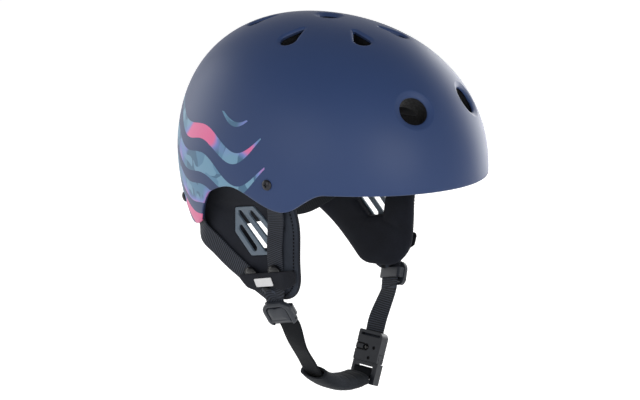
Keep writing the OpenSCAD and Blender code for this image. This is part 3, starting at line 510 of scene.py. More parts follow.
fine_grain = grain_group()


def finish(name, colour, rough, **constants):
    """A material and its tree; constants such as sheen go straight on its Principled shader's sockets."""
    made = bpy.data.materials.new(name)
    made.use_nodes = True
    sockets = made.node_tree.nodes["Principled BSDF"].inputs
    for key, value in {"Base_Color": colour, "Roughness": rough, **constants}.items():
        sockets[key.replace("_", " ")].default_value = value
    return made, made.node_tree


def dress(tree, tint, gloss, height, strength, bump, invert=False):
    """Gives a material its colour, its roughness and a relief that is bump millimetres deep."""
    relief = node(tree, "ShaderNodeBump", {"Strength": strength, "Distance": bump * MM, "Height": height},
                  invert=invert)
    sockets = tree.nodes["Principled BSDF"].inputs
    for made, label in ((tint, "Base Color"), (gloss, "Roughness"), (relief.outputs[0], "Normal")):
        tree.links.new(made, sockets[label])


def grained(name, colour, other, rough, grain, cloud, bump=0.05, spread=0.08, **constants):
    """Moulded plastic or painted finish: cloudy colour and gloss over a fine bump."""
    colour, other = linear(*colour), linear(*other)
    made, tree = finish(name, colour, rough, **constants)
    texture = node(tree, "ShaderNodeGroup", {"Grain": grain, "Cloud": cloud}, node_tree=fine_grain).outputs
    gloss = ranged(tree, texture["Cloud"], target=(rough - spread, rough + spread))
    dress(tree, mixed(tree, texture["Cloud"], colour, other), gloss, texture["Height"], strength=1.0, bump=bump)
    return made


shell_paint = grained("shell_navy_paint", (44, 63, 103), (48, 67, 108), 0.48, grain=0.35, cloud=60, bump=0.012,
                      spread=0.04, Coat_Weight=0.06, Coat_Roughness=0.3, Specular_IOR_Level=0.25)
# The ripples run round the back and thin out towards the temples
tree = shell_paint.node_tree
place = node(tree, "ShaderNodeTexCoord")
axes = node(tree, "ShaderNodeSeparateXYZ", {0: place.outputs["Object"]}).outputs
ripple_pitch, thinnest, rim_level, rear_turn = 0.027, 0.03, -0.004, 1.7


def sums(kind, *values):
    return maths(tree, kind, *values)


turn = sums("ARCTAN2", sums("ABSOLUTE", axes["X"]), sums("MULTIPLY", axes["Y"], -1.0))
sway = sums("MULTIPLY", sums("SINE", sums("MULTIPLY", turn, 9.0)), 0.007)
slow = sums("MULTIPLY", sums("SINE", sums("MULTIPLY_ADD", turn, 4.0, 1.0)), 0.012)
level = sums("ADD", sums("ADD", axes["Z"], sway), slow)
phase = sums("FRACT", sums("DIVIDE", level, ripple_pitch))
ridge = sums("ABSOLUTE", sums("SUBTRACT", phase, 0.5))
reach = ranged(tree, turn, (1.15, 2.0), (0.0, 0.31), "SMOOTHSTEP")
width = sums("MULTIPLY", reach, ranged(tree, axes["Z"], (0.03, 0.062), (1.0, 0.0)))
back = sums("MAXIMUM", sums("GREATER_THAN", axes["Z"], rim_level), sums("GREATER_THAN", turn, rear_turn))
bold = sums("MULTIPLY", sums("GREATER_THAN", width, thinnest), back)
mask = sums("MULTIPLY", sums("LESS_THAN", ridge, width), bold)


def cloud(scale, twist, low, high, seed):
    """A mask of patches: low and high are the noise levels between which its edge runs."""
    moved = node(tree, "ShaderNodeMapping", {"Vector": place.outputs["Object"], "Location": (seed, seed, 0)})
    noise = node(tree, "ShaderNodeTexNoise", {"Vector": moved.outputs[0], "Scale": scale, "Detail": 0.6,
                                              "Distortion": twist})
    return ranged(tree, noise.outputs["Fac"], (low, high), way="SMOOTHSTEP")


ink = linear(96, 138, 168)
for patch, tone in (((42.0, 0.8, 0.50, 0.515, 0.3), (76, 112, 140)), ((58.0, 0.5, 0.57, 0.58, 1.1), (118, 158, 184)),
                    ((22.0, 0.3, 0.50, 0.60, 2.2), (128, 140, 208)),
                    ((22.0, 0.3, 0.565, 0.64, 2.2), (228, 112, 158))):
    ink = mixed(tree, cloud(*patch), ink, linear(*tone))
base = tree.nodes["Principled BSDF"].inputs["Base Color"]
tree.links.new(mixed(tree, mask, base.links[0].from_socket, ink), base)
shell = settle("outer_shell_body", mesh, shell_paint, "helmet", ["outer_shell"], sharp=32)
shell.data.materials.append(grained("shell_inner_paint", (30, 42, 70), (34, 47, 76), 0.6, grain=0.35, cloud=60,
                                    bump=0.012, Specular_IOR_Level=0.2))
for face in shell.data.polygons:
    face.material_index = int(face.normal.dot(face.center) < 0)

# Foam liner: six black blocks of moulded bead foam, five round a crown block, with the vents carried
# through. They are bonded inside the shell and show under the brim and through the vents.
liner_stops = [(-77, 5), (-53, 17), (44, 17), (94, -29), (146, -33)]
liner_in, liner_t, crown_block_r, block_gap = 4.4, 16, 38, 0.6
points, faces = dome_wall((liner_in, liner_in + liner_t), liner_stops, steps=192, rows=(48, 40), lip=3.0)
liner_foam, tree = finish("liner_bead_foam", linear(13, 13, 15), 0.8, Specular_IOR_Level=0.25)
beads = pattern(tree, "ShaderNodeTexVoronoi", 420.0)["Distance"]
dress(tree, mixed(tree, beads, linear(16, 16, 19), linear(8, 8, 10)), ranged(tree, beads, target=(0.62, 0.85)), beads,
      strength=0.7, bump=0.15, invert=True)
vent_room, liner_depth, nut_room_r, nut_depth = 0.4, 40, 16.5, 10.9
cutters = [dome_cutter(seat, vent_outline(kind, vent_room), liner_depth) for seat, kind, lip in vents]
cutters += [dome_cutter(dome_frame(rear_dir * m), circle(48, nut_room_r), nut_depth) for m in (1, mirror)]
half_gap, shift, far, tall = block_gap / 2, 0.7 * block_gap, 200, 150
wedges = {"front": ((0, -shift), (-far, -far - shift), (far, -far - shift))}
for side, sign in (("right", -1), ("left", 1)):
    wedges[side] = ((sign * shift, 0), (sign * (far + shift), -far), (sign * (far + shift), far))
    wedges[f"rear_{side}"] = ((sign * half_gap, half_gap + shift), (sign * far, far + shift),
                              (sign * half_gap, far + shift))
wedges["crown"] = circle(96, crown_block_r - block_gap)


def upright(outline, low, high):
    """A straight cutter that stands on a flat outline."""
    return prism(*(np.insert(np.array(outline, float), 2, z, axis=1) for z in (low, high)))


for name, outline in wedges.items():
    mesh = cut(blank("liner_blank", points, faces), cutters, "liner_vented")
    mesh = cut(mesh, [upright(outline, -tall, tall)], "liner_part", "INTERSECT")
    if name != "crown":
        mesh = cut(mesh, [upright(circle(96, crown_block_r), 0, tall)], "liner_part")
    settle(f"liner_{name}_block", mesh, liner_foam, "helmet", [f"liner_{name}"], sharp=50)


# Comfort pads: five soft foam pads in black brushed cloth, held on the liner by hook tape. Each is
# sewn flat round its edge and swells in the middle.
def cloth_group():
    """Knitted cloth: tiny loops in rows, slow uneven shade and fine fuzz; sizes are in millimetres."""
    tree, given, result = shader_group("knit_cloth", {"Pitch": 0.8, "Cloud": 25.0}, ("Height", "Cloud", "Fuzz"))
    loops = pattern(tree, "ShaderNodeTexVoronoi", maths(tree, "DIVIDE", 1 / MM, given["Pitch"]), Randomness=0.45)
    shade = pattern(tree, "ShaderNodeTexNoise", maths(tree, "DIVIDE", 1 / MM, given["Cloud"]), Detail=4.0)
    fuzz = pattern(tree, "ShaderNodeTexNoise", 2600.0, Detail=1.0)
    for made, label in ((loops["Distance"], "Height"), (shade["Fac"], "Cloud"), (fuzz["Fac"], "Fuzz")):
        tree.links.new(made, result[label])
    return tree


knit_cloth = cloth_group()


def knitted(name, colour, other, rough, pitch, bump, sheen):
    """Knitted or brushed cloth: a cloudy, fuzzy tint and roughness over the loops of the knit."""
    colour, other = linear(*colour), linear(*other)
    made, tree = finish(name, colour, rough, Sheen_Weight=sheen, Sheen_Roughness=0.5, Specular_IOR_Level=0.12)
    texture = node(tree, "ShaderNodeGroup", {"Pitch": pitch}, node_tree=knit_cloth).outputs
    spread = ranged(tree, maths(tree, "MULTIPLY", texture["Cloud"], texture["Fuzz"]), (0.12, 0.42))
    gloss = ranged(tree, texture["Cloud"], target=(rough - 0.08, rough + 0.08))
    dress(tree, mixed(tree, spread, colour, other), gloss, texture["Height"], strength=0.8, bump=bump, invert=True)
    return made


def swell(points, faces, cap, held, pressure=4.0, frames=20):
    """Cloth blown up a little by pressure for some frames; no point moves further than cap millimetres."""
    pad = blank("swelling", points, faces)
    cloth = pad.modifiers.new("cloth", "CLOTH")
    cloth.settings.use_pressure = True
    cloth.settings.uniform_pressure_force = pressure
    cloth.settings.effector_weights.gravity = 0
    cloth.settings.quality = 6
    pad.vertex_groups.new(name="sewn").add([int(i) for i in held], 1.0, "REPLACE")
    cloth.settings.vertex_group_mass = "sewn"
    cloth.point_cache.frame_start = 1
    cloth.point_cache.frame_end = frames
    for step in range(1, frames + 1):
        scene.frame_set(step)
    result = plain_mesh(pad, "swollen")
    co = np.zeros(len(result.vertices) * 3)
    result.vertices.foreach_get("co", co)
    bpy.data.meshes.remove(result)
    scene.frame_set(1)
    step = co.reshape(-1, 3) / MM - points
    length = np.linalg.norm(step, axis=1, keepdims=True)
    return points + step * np.minimum(1, cap / np.maximum(length, 1e-9))


def remade(made, kind, **settings):
    """The piece with one modifier taken up in its own mesh."""
    modifier = made.modifiers.new(kind, kind)
    for key, value in settings.items():
        setattr(modifier, key, value)
    made.data = evaluated(made)
    made.modifiers.remove(modifier)
    return made


comfort_cloth = knitted("comfort_cloth", (17, 18, 21), (28, 29, 33), 0.85, pitch=1.1, bump=0.12, sheen=0.05)
comfort_in, comfort_t, pad_sides, pad_square = liner_in + liner_t + 1.2, 8, 64, 0.6
pad_shares = (0.15, 0.3, 0.45, 0.6, 0.72, 0.82, 0.9, 0.96)


def comfort_pad(turn, down, half_turn, half_down):
    around = np.arange(pad_sides) * 2 * math.pi / pad_sides
    c, q = signed_pow(np.cos(around), pad_square), signed_pow(np.sin(around), pad_square)

    def ring(share, inset):
        a, b = np.radians(turn + share * half_turn * c), np.radians(down + share * half_down * q)
        return dome_along(np.stack([np.sin(b) * np.sin(a), -np.sin(b) * np.cos(a), np.cos(b)], 1), inset)

    crowned = [comfort_t * (0.25 + 0.62 * math.sqrt(1 - (s / 0.98) ** 6)) for s in pad_shares]
    rings = [ring(s, comfort_in) for s in pad_shares]
    rings += [ring(0.985, comfort_in + t) for t in (0.5, 1.6)]
    rings += [ring(s, comfort_in + t) for s, t in zip(pad_shares[::-1], crowned[::-1])]
    middle = [dome_along(vent_direction(turn, down)[None], comfort_in + t) for t in (0, crowned[0])]
    return np.concatenate([middle[0]] + rings + [middle[1]]), closed_rings(len(rings), pad_sides)


for name, sizes in {"crown_pad": (180, 11, 70, 7), "front_pad": (0, 80, 30, 7.5), "rear_pad": (180, 82, 28, 13),
                    "side_pad_right": (-82, 62, 26, 11), "side_pad_left": (82, 62, 26, 11)}.items():
    points, faces = comfort_pad(*sizes)
    points = swell(points, faces, cap=1.0, held=range(1 + len(pad_shares) * pad_sides))
    pad = piece(name + "_cushion", points, faces, comfort_cloth, "pad_cloth", nodes=[name], sharp=180)
    remade(pad, "SUBSURF", levels=1, render_levels=1)

# Ear pads: cut from nine millimetre foam faced with black neoprene, sewn shut along the edge, with a
# six-sided window. They hang inside the shell's ear arches.
ear_x, ear_flare, ear_bend, ear_half = 74.5, 17, -46, 4.5
tuck, tuck_from, rear_in, rear_from, rear_len = 0.004, -60, 6, 48, 36


def ear_layer(y, z):
    """Distance of the pad's middle layer from the middle of the head."""
    return (ear_x + ear_flare * np.maximum(0, 1 - z / ear_bend) ** 2 - tuck * np.minimum(0, z - tuck_from) ** 2
            - rear_in * np.maximum(0, (y - rear_from) / rear_len) ** 2)


def on_ear(y, z, h):
    """Point at a height outside the middle layer of the right ear pad."""
    y, z = np.asarray(y, float), np.asarray(z, float)
    return np.stack([-ear_layer(y, z) - h, y, z + 0 * y], -1)


def ear_ring(flat, h):
    """A flat outline laid on the right ear pad."""
    return on_ear(flat[:, 0], flat[:, 1], h)


def ear_out(y, z):
    return unit(np.cross(on_ear(y, z + 1, 0) - on_ear(y, z - 1, 0), on_ear(y + 1, z, 0) - on_ear(y - 1, z, 0)))


def ear_station(y, z, h):
    return np.array([on_ear(y, z, h), ear_out(y, z)])


def rounded(corners, n=10):
    """Outline with rounded corners from (y, z, radius) corners."""
    outline = []
    for i, (y, z, radius) in enumerate(corners):
        c = np.array((y, z))
        a = unit(np.array(corners[i - 1][:2]) - c)
        b = unit(np.array(corners[(i + 1) % len(corners)][:2]) - c)
        half = math.acos(a @ b) / 2
        hub = c + unit(a + b) * radius / math.sin(half)
        ends = [c + side * radius / math.tan(half) - hub for side in (a, b)]
        outline += [hub + unit(ends[0] * (1 - k / n) + ends[1] * k / n) * radius for k in range(n + 1)]
    return np.array(outline)


def spaced(outline, count):
    """The same closed outline with evenly spaced points."""
    closed = np.vstack([outline, outline[:1]])
    run = np.concatenate([[0], np.cumsum(np.linalg.norm(np.diff(closed, axis=0), axis=1))])
    at = np.linspace(0, run[-1], count, endpoint=False)
    return np.stack([np.interp(at, run, closed[:, k]) for k in range(2)], 1)


def both_sides(name, points, faces, material, slot, body="helmet", **rest):
    """The right piece and its mirrored left one."""
    made = []
    for side, sign in (("right", 1), ("left", -1)):
        where = body if body == "helmet" else f"{body}_{side}"
        turned = faces if sign > 0 else [tuple(reversed(f)) for f in faces]
        made.append(piece(f"{name}_{side}_made", np.asarray(points) * (sign, 1, 1), turned, material, slot,
                          body=where, nodes=[f"{name}_{side}"], **rest))
    return made


plate_mid, plate_turn, plate_len, plate_w = np.array((14, -44.3)), math.radians(44.5), 51, 37
plate_axes = np.array(((math.cos(plate_turn), math.sin(plate_turn)), (-math.sin(plate_turn), math.cos(plate_turn))))
plate_seat, seat_gap, seat_corner_r, window_share = 3.0, 0.5, 2.5, 0.76


def plate_outline(grow, radius):
    l, w, f = plate_len / 2 + grow, plate_w / 2 + grow, plate_len / 4
    shape = [(l, 0), (f, w), (-f, w), (-l, 0), (-f, -w), (f, -w)]
    corners = [tuple(plate_mid + np.array(p) @ plate_axes) + (radius,) for p in shape]
    return rounded(corners)


ear_corners = [(-34, 5, 8), (46, 5, 16), (84, -26, 14), (90, -50, 9), (20, -104, 24), (-30, -101.5, 27)]
ear_outline = spaced(rounded(ear_corners), 176)[::-1]


def toward(outline, ends):
    """Where rays from the plate's middle to each end cross a convex outline."""
    closed = np.vstack([outline, outline[:1]]) - plate_mid
    found = []
    for end in ends - plate_mid:
        for p, q in zip(closed, closed[1:]):
            det = end[0] * (p[1] - q[1]) - end[1] * (p[0] - q[0])
            if abs(det) < 1e-9:
                continue
            t = (p[0] * (p[1] - q[1]) - p[1] * (p[0] - q[0])) / det
            u = (end[0] * p[1] - end[1] * p[0]) / det
            if t > 0 and -1e-6 <= u <= 1 + 1e-6:
                found.append(plate_mid + end * t)
                break
    return np.array(found)


seat_line = toward(plate_outline(seat_gap, seat_corner_r), ear_outline)
window_line = plate_mid + (seat_line - plate_mid) * window_share


def pad_ring(share, h):
    return ear_ring(seat_line + (ear_outline - seat_line) * share, h)


def pad_height(share):
    """Half thickness of the pad between the plate's seat and the outer edge."""
    return ear_half * math.sqrt(max(0.0, 1 - 0.93 * share ** 9))


outer_shares = (0.0, 0.012, 0.05, 0.12, 0.22, 0.34, 0.46, 0.58, 0.68, 0.77, 0.85, 0.91, 0.955, 0.985, 1.0)
window_heights = (-3.6, -1.5, 1.0, plate_seat - 0.5, plate_seat)
rings = [ear_ring(window_line, h) for h in window_heights]
rings += [ear_ring((window_line + seat_line) / 2, plate_seat)]
rings += [ear_ring(seat_line, h) for h in (plate_seat, ear_half - 0.5)]
first_outer = len(rings)
rings += [pad_ring(s, pad_height(s)) for s in outer_shares[1:]]
rings += [pad_ring(1.004, 0)]
rings += [pad_ring(s, -pad_height(s)) for s in outer_shares[::-1]]
rings += [ear_ring(window_line + (seat_line - window_line) * 0.35, -ear_half + 0.15)]


def looped_rings(rows, count):
    """Faces over rings of points that return to the first ring."""
    return [(j * count + i, ((j + 1) % rows) * count + i, ((j + 1) % rows) * count + (i + 1) % count,
             j * count + (i + 1) % count) for j in range(rows) for i in range(count)]


count = len(ear_outline)
points, faces = np.concatenate(rings), looped_rings(len(rings), count)
edge_row = first_outer + len(outer_shares) - 1
held = [*range(first_outer * count), *range((edge_row - 1) * count, (edge_row + 2) * count)]
points = swell(points, faces, cap=0.5, held=held, pressure=2.0)
neoprene = knitted("neoprene_jersey", (21, 23, 30), (34, 37, 46), 0.72, pitch=0.7, bump=0.05, sheen=0.03)
edge_strip = knitted("neoprene_edge_strip", (38, 42, 50), (54, 59, 69), 0.7, pitch=0.7, bump=0.05, sheen=0.03)
strip_y, strip_lean, strip_facing = -25, 0.13, 0.5
ear_pads = both_sides("ear_pad", points, faces, neoprene, "pad_cloth", sharp=55)
for pad in ear_pads:
    remade(pad, "SUBSURF", levels=1, render_levels=1)
    pad.data.materials.append(edge_strip)
    for face in pad.data.polygons:
        x, y, z = face.center / MM
        outer = face.normal[0] * math.copysign(1, x) > strip_facing
        face.material_index = int(outer and y < strip_y - strip_lean * z)


# Stitches: one row of heavy dark polyester thread round each ear pad, a few millimetres in from the edge.
# It is sewn through the cover and the foam, and each stitch stands proud of the face.
def running_stitch():
    """Short threads along the lines of a mesh: a sphere drawn out along the line at each step."""
    tree = bpy.data.node_groups.new("running_stitch", "GeometryNodeTree")
    for label, kind in (("Geometry", "Geometry"), ("Pitch", "Float"), ("Length", "Float"), ("Thickness", "Float"),
                        ("Thread", "Material")):
        tree.interface.new_socket(label, in_out="INPUT", socket_type="NodeSocket" + kind)
    tree.interface.new_socket("Geometry", in_out="OUTPUT", socket_type="NodeSocketGeometry")
    given, result = tree.nodes.new("NodeGroupInput").outputs, tree.nodes.new("NodeGroupOutput").inputs
    line = node(tree, "GeometryNodeMeshToCurve", {"Mesh": given["Geometry"]})
    steps = node(tree, "GeometryNodeCurveToPoints", {"Curve": line.outputs[0], "Length": given["Pitch"]},
                 mode="LENGTH").outputs
    ball = node(tree, "GeometryNodeMeshUVSphere", {"Segments": 6, "Rings": 4, "Radius": 0.5})
    size = node(tree, "ShaderNodeCombineXYZ", {0: given["Thickness"], 1: given["Thickness"], 2: given["Length"]})
    drawn = node(tree, "GeometryNodeTransform", {"Geometry": ball.outputs[0], "Scale": size.outputs[0]})
    along = node(tree, "FunctionNodeAlignRotationToVector", {"Vector": steps["Tangent"]}, axis="Z")
    copies = node(tree, "GeometryNodeInstanceOnPoints", {"Points": steps["Points"], "Instance": drawn.outputs[0],
                                                         "Rotation": along.outputs[0]})
    real = node(tree, "GeometryNodeRealizeInstances", {"Geometry": copies.outputs[0]})
    dyed = node(tree, "GeometryNodeSetMaterial", {"Geometry": real.outputs[0], "Material": given["Thread"]})
    tree.links.new(dyed.outputs[0], result[0])
    return tree


thread = grained("stitch_thread", (5, 5, 7), (10, 10, 13), 0.6, grain=0.3, cloud=4, Specular_IOR_Level=0.08)
stitch_share, stitch_lift = 0.9, 0.55
seam = seat_line + (ear_outline - seat_line) * stitch_share
seam_line = ear_ring(np.vstack([seam, seam[:1]]), pad_height(stitch_share) + stitch_lift)
count = len(seam_line)
edges = [(k * count + i, k * count + i + 1) for k in range(2) for i in range(count - 1)]
stitches = placed("ear_pad_stitches", bpy.data.meshes.new("ear_pad_stitches"))
stitches.data.from_pydata((np.concatenate([seam_line, seam_line * mirror]) * MM).tolist(), edges, [])
sewing = stitches.modifiers.new("sewing", "NODES")
sewing.node_group = running_stitch()
values = {"Pitch": 0.003, "Length": 0.0022, "Thickness": 0.0011, "Thread": thread}
for item in sewing.node_group.interface.items_tree:
    if item.name in values:
        sewing[item.identifier] = values[item.name]
mesh = plain_mesh(stitches, "ear_pad_stitches")
settle("ear_pad_stitches", mesh, thread, "helmet", (), sharp=180)


# Ear plates: six-sided slate plates moulded in stiff plastic, with three slots that let water and
# sound through. They are pressed into the seat round the pad's window.
def flat_piece(outline, holes, heights, bevel, place, spacing=3.0):
    """A plate with bevelled edges: outline(grow) and holes give its edge lines, place(y, z, h) bends it."""
    low, high = heights
    levels = [(bevel, high), (bevel * 0.3, high - bevel * 0.3), (0.0, high - bevel), (0.0, low)]
    points, faces, lines = [], [], []
    base = 0
    for line in [outline] + holes:
        loops = []
        for inset, h in levels:
            flat = line(-inset if line is outline else inset)
            loops.append((base, flat))
            points.append(place(flat[:, 0], flat[:, 1], h))
            base += len(flat)
        n = len(flat)
        for (a, _), (b, _) in zip(loops, loops[1:]):
            faces += [(a + i, a + (i + 1) % n, b + (i + 1) % n, b + i) for i in range(n)]
        lines.append(loops)
    for row, h in ((0, high), (3, low)):
        flat, ids, edges = [], [], []
        for loops in lines:
            start, loop = loops[row]
            n = len(loop)
            edges += [(len(flat) + i, len(flat) + (i + 1) % n) for i in range(n)]
            ids += list(range(start, start + n))
            flat += [Vector(p) for p in loop]
        corners = np.array([p[:] for p in flat])
        lo, hi = corners.min(0), corners.max(0)
        for y in np.arange(lo[0] + spacing / 2, hi[0], spacing):
            for z in np.arange(lo[1] + spacing / 2, hi[1], spacing):
                flat.append(Vector((y, z)))
                ids.append(None)
        verts, _, tris, origin, _, _ = delaunay_2d_cdt(flat, edges, [], 0, 1e-6)
        where = {}
        for v, source in enumerate(origin):
            known = [ids[s] for s in source if ids[s] is not None]
            if known:
                where[v] = known[0]
        for tri in tris:
            middle = sum((verts[v] for v in tri), Vector((0, 0))) / len(tri)
            within = [inside(middle, loops[row][1]) for loops in lines]
            if not within[0] or any(within[1:]):
                continue
            for v in tri:
                if v not in where:
                    where[v] = base
                    points.append(place(np.array([verts[v][0]]), np.array([verts[v][1]]), h))
                    base += 1
            faces.append(tuple(where[v] for v in (tri if row == 0 else reversed(tri))))
    return np.concatenate(points), faces


def inside(p, outline):
    """Whether a flat point lies in a closed outline."""
    y, z = outline[:, 0], outline[:, 1]
    y2, z2 = np.roll(y, -1), np.roll(z, -1)
    with np.errstate(divide="ignore", invalid="ignore"):
        cross = (z > p[1]) != (z2 > p[1])
        at = (y2 - y) * (p[1] - z) / (z2 - z) + y
    return bool((cross & (p[0] < at)).sum() % 2)


slot_w, slot_pitch, slot_len = 6.0, 10.5, 43


def slot_line(k):
    length = (slot_len if k == 0 else slot_len * 0.62) - slot_w

    def line(grow):
        way = circle(40, 1)
        flat = way * (slot_w / 2 + grow) + np.where(way[:, :1] >= 0, 1, -1) * np.array((length / 2, 0))
        return plate_mid + (flat + np.array((0, k * slot_pitch))) @ plate_axes

    return line


plate_top = plate_seat + 2.3
points, faces = flat_piece(lambda grow: plate_outline(grow, 2.0 + grow), [slot_line(k) for k in (-1, 0, 1)],
                           (plate_seat + 0.3, plate_top), bevel=0.5, place=on_ear, spacing=4.0)
slate = grained("plate_slate_plastic", (84, 98, 112), (92, 106, 120), 0.45, grain=0.4, cloud=18, bump=0.02)
both_sides("ear_plate", points, faces, slate, "plate_slate", sharp=30)


# Side webbing: ribbed polyester tape, seventeen millimetres wide in front and nineteen behind. The front one
# falls from the temple screw to the divider; the rear one runs along the pad's edge and is sewn under it.
def smooth_run(stations, step):
    """Points and outward directions along a smooth path through the stations, evenly spaced."""
    s = [np.asarray(p, float) for p in stations]
    run = []
    for i in range(len(s) - 1):
        a, b, c, d = s[max(0, i - 1)], s[i], s[i + 1], s[min(len(s) - 1, i + 2)]
        for t in np.arange(16) / 16:
            run.append(0.5 * (2 * b + (c - a) * t + (2 * a - 5 * b + 4 * c - d) * t * t
                              + (3 * b - a - 3 * c + d) * t ** 3))
    run = np.array(run + [s[-1]])
    length = np.concatenate([[0], np.cumsum(np.linalg.norm(np.diff(run[:, 0], axis=0), axis=1))])
    at = np.linspace(0, length[-1], max(2, int(length[-1] / step)))
    even = np.stack([np.interp(at, length, run[:, i, k]) for i in range(2) for k in range(3)], 1)
    return even[:, :3], even[:, 3:], at


web_t, web_gap, lay_gap, plain_edge = 1.6, 0.3, 0.6, 0.8


def tape(name, stations, width, material, slot, make=piece, pitch=2.0, rib=0.3, slant=0.0, step=0.3, **rest):
    """Flat webbing with cross ribs and rounded edges; its UV is the run and the way across, in metres."""
    p, out, at = smooth_run(stations, step)
    t = unit(np.gradient(p, axis=0))
    w = unit(np.cross(out, t))
    n = np.cross(t, w)
    r = web_t / 2
    flat = np.linspace(-width / 2 + r, width / 2 - r, 9)
    bend = np.radians((-60, -20, 20, 60))
    across = np.concatenate([flat, flat[-1] + r * np.cos(bend), flat[::-1], flat[0] - r * np.cos(bend)])
    height = np.concatenate([np.full(9, r), -r * np.sin(bend), np.full(9, -r), r * np.sin(bend)])
    ribbed = np.clip(width / 2 - plain_edge - np.abs(across), 0, 1) * np.sign(height)
    wave = (0.5 + 0.5 * np.cos(2 * math.pi * (at[:, None] + slant * across) / pitch)) - 1
    lift = height + ribbed * rib * wave
    rings = p[:, None] + w[:, None] * across[None, :, None] + n[:, None] * lift[..., None]
    points = np.concatenate([p[:1], rings.reshape(-1, 3), p[-1:]])
    uv = np.stack([np.broadcast_to(at[:, None], lift.shape), np.broadcast_to(across, lift.shape)], -1)
    uv = np.concatenate([[(at[0], 0)], uv.reshape(-1, 2), [(at[-1], 0)]]) * MM
    return make(name, points, closed_rings(*lift.shape), material, slot, uv=uv, sharp=60, **rest)


def woven(name, painted_groove_shade, crest, rough, pitch, slant=0.0, yarn=0.5, bump=0.05, gloss=0.2):
    """Woven tape on its UV map: painted shade darkens the grooves between paler ribs, with fine yarns and a little
    uneven dye.
    """
    painted_groove_shade, crest = linear(*painted_groove_shade), linear(*crest)
    made, tree = finish(name, crest, rough, Sheen_Weight=0.03, Sheen_Roughness=0.4, Specular_IOR_Level=gloss)
    place = node(tree, "ShaderNodeUVMap")
    axes = node(tree, "ShaderNodeSeparateXYZ", {0: place.outputs[0]}).outputs
    leaning = maths(tree, "MULTIPLY_ADD", axes["Y"], slant, axes["X"])
    waves = []
    for way, step in ((leaning, pitch), (axes["X"], yarn), (axes["Y"], yarn * 0.8)):
        waves.append(maths(tree, "COSINE", maths(tree, "MULTIPLY", way, 2 * math.pi / (step * MM))))
    weave = ranged(tree, maths(tree, "MULTIPLY", waves[1], waves[2]), (-1.0, 1.0))
    grain = node(tree, "ShaderNodeGroup", {"Grain": 0.6, "Cloud": 9.0}, node_tree=fine_grain).outputs
    dye = ranged(tree, grain["Cloud"], (0.3, 0.7), (0.75, 1.0))
    # Painted shade: the rib phase blends from the groove colour in the rib hollows to the crest colour on the rib tops,
    # times the uneven dye
    shade = maths(tree, "MULTIPLY", ranged(tree, waves[0], (-0.7, 0.8)), dye)
    dull = ranged(tree, grain["Cloud"], target=(rough - 0.1, rough + 0.1))
    dress(tree, mixed(tree, shade, painted_groove_shade, crest), dull, weave, strength=0.8, bump=bump)
    return made


front_rib, front_slant, rear_rib = 1.8, 0.55, 2.0
front_web_w, rear_web_w, web_tail = 17, 19, 6.5
# Each tape's first colour is painted shade for its rib grooves, its second the paler rib tops
twill_tape = woven("webbing_twill_tape", (16, 17, 21), (53, 58, 69), 0.62, pitch=front_rib, slant=front_slant)
ribbed_tape = woven("webbing_ribbed_tape", (9, 10, 14), (56, 62, 74), 0.6, pitch=rear_rib)
web_h = ear_half + lay_gap + web_t / 2
over_plate = plate_top + lay_gap + web_t / 2
web_in = shell_wall + 1.4 + web_t / 2
divider_mid, divider_w, divider_h, divider_t = np.array((-76.6, -9.5, -112.5)), 29, 22, 4.6
divider_turns = (("X", -15), ("Y", -24), ("Z", 13.5))


def divider_way(v):
    """A direction in the right divider's own frame: X along its width, Y up the strap, Z outwards."""
    way = Vector((-v[2], -v[0], v[1]))
    for axis, angle in divider_turns:
        way = Matrix.Rotation(math.radians(angle), 3, axis) @ way
    return np.array(way)


def divider_point(x, y, z):
    return divider_mid + divider_way((x, y, z))


def divider_station(x, y, z):
    return np.array([divider_point(x, y, z), divider_way((0, 0, 1))])


n = dome_normal(temple_dir)
root = dome_along(temple_dir, 0) - n * web_in
fall = np.array((0, 14, -29.0))
run = unit(fall - n * (fall @ n))
z = -divider_t / 2 - web_gap - web_t / 2
front_run = [(root - run * web_tail, n), (root, n), (root + run * 9 - n, n)]
front_run += [ear_station(*s) for s in (
    (-18, -22, over_plate + 1.5), (-12.4, -39, over_plate), (-10.6, -56, over_plate), (-9.8, -73, web_h),
    (-9.2, -87, web_h + 0.08), (-8.9, -93.5, web_h + 3))]
front_run += [divider_station(0, *s) for s in (
    (divider_h / 2 + 2.5, z - 0.6), (divider_h / 2 - 1.5, z - 0.2), (divider_h / 4, z), (0, z))]
tape("front_strap", front_run, front_web_w, twill_tape, "webbing_ribbed", both_sides, pitch=front_rib, rib=0.22,
     slant=front_slant)
n = dome_normal(rear_dir)
root = dome_along(rear_dir, 0) - n * web_in
exit_dir = np.array((-76.16, 83, -51.7))
rim = dome_along(exit_dir, web_in + 1.2)
fall = rim - root
run = unit(fall - n * (fall @ n))
rear_run = [(root - run * web_tail, n), (root, n), (root + run * 7, n), (rim, ear_out(83, -46) + dome_normal(exit_dir))]
rear_run += [ear_station(*s) for s in (
    (73.3, -55.5, web_h + 1), (57.7, -63.8, web_h), (43.8, -72.5, web_h), (28.9, -81.4, web_h),
    (18, -88, web_h - 0.1), (9, -94, web_h - 0.8), (2, -98.5, web_h - 0.6))]
rear_run += [divider_station(-5, divider_h / 2 + 2.5, z - 2.2), divider_station(-2.5, divider_h / 2 - 4.5, z - 2)]
tape("rear_strap", rear_run, rear_web_w, ribbed_tape, "webbing_ribbed", both_sides, pitch=rear_rib)

# Strap keepers: black cloth bands sewn across the foot of each ear pad, over both webbings. Two glossy
# rubber guides stand on the upper edge, and a bare white woven label is sewn to the right one.
keeper_h = web_h + web_t / 2 + 2 * lay_gap
keeper_top = keeper_h + 1.5
fall_from, fall_len, fall_depth = -19.5, 9, 2.6
keeper_corners = [(34, -85.5, 3), (25, -95.5, 6), (14, -97, 4), (-3, -89, 10), (-20, -89.5, 10), (-30, -83, 4),
                  (-32, -70.5, 3)]


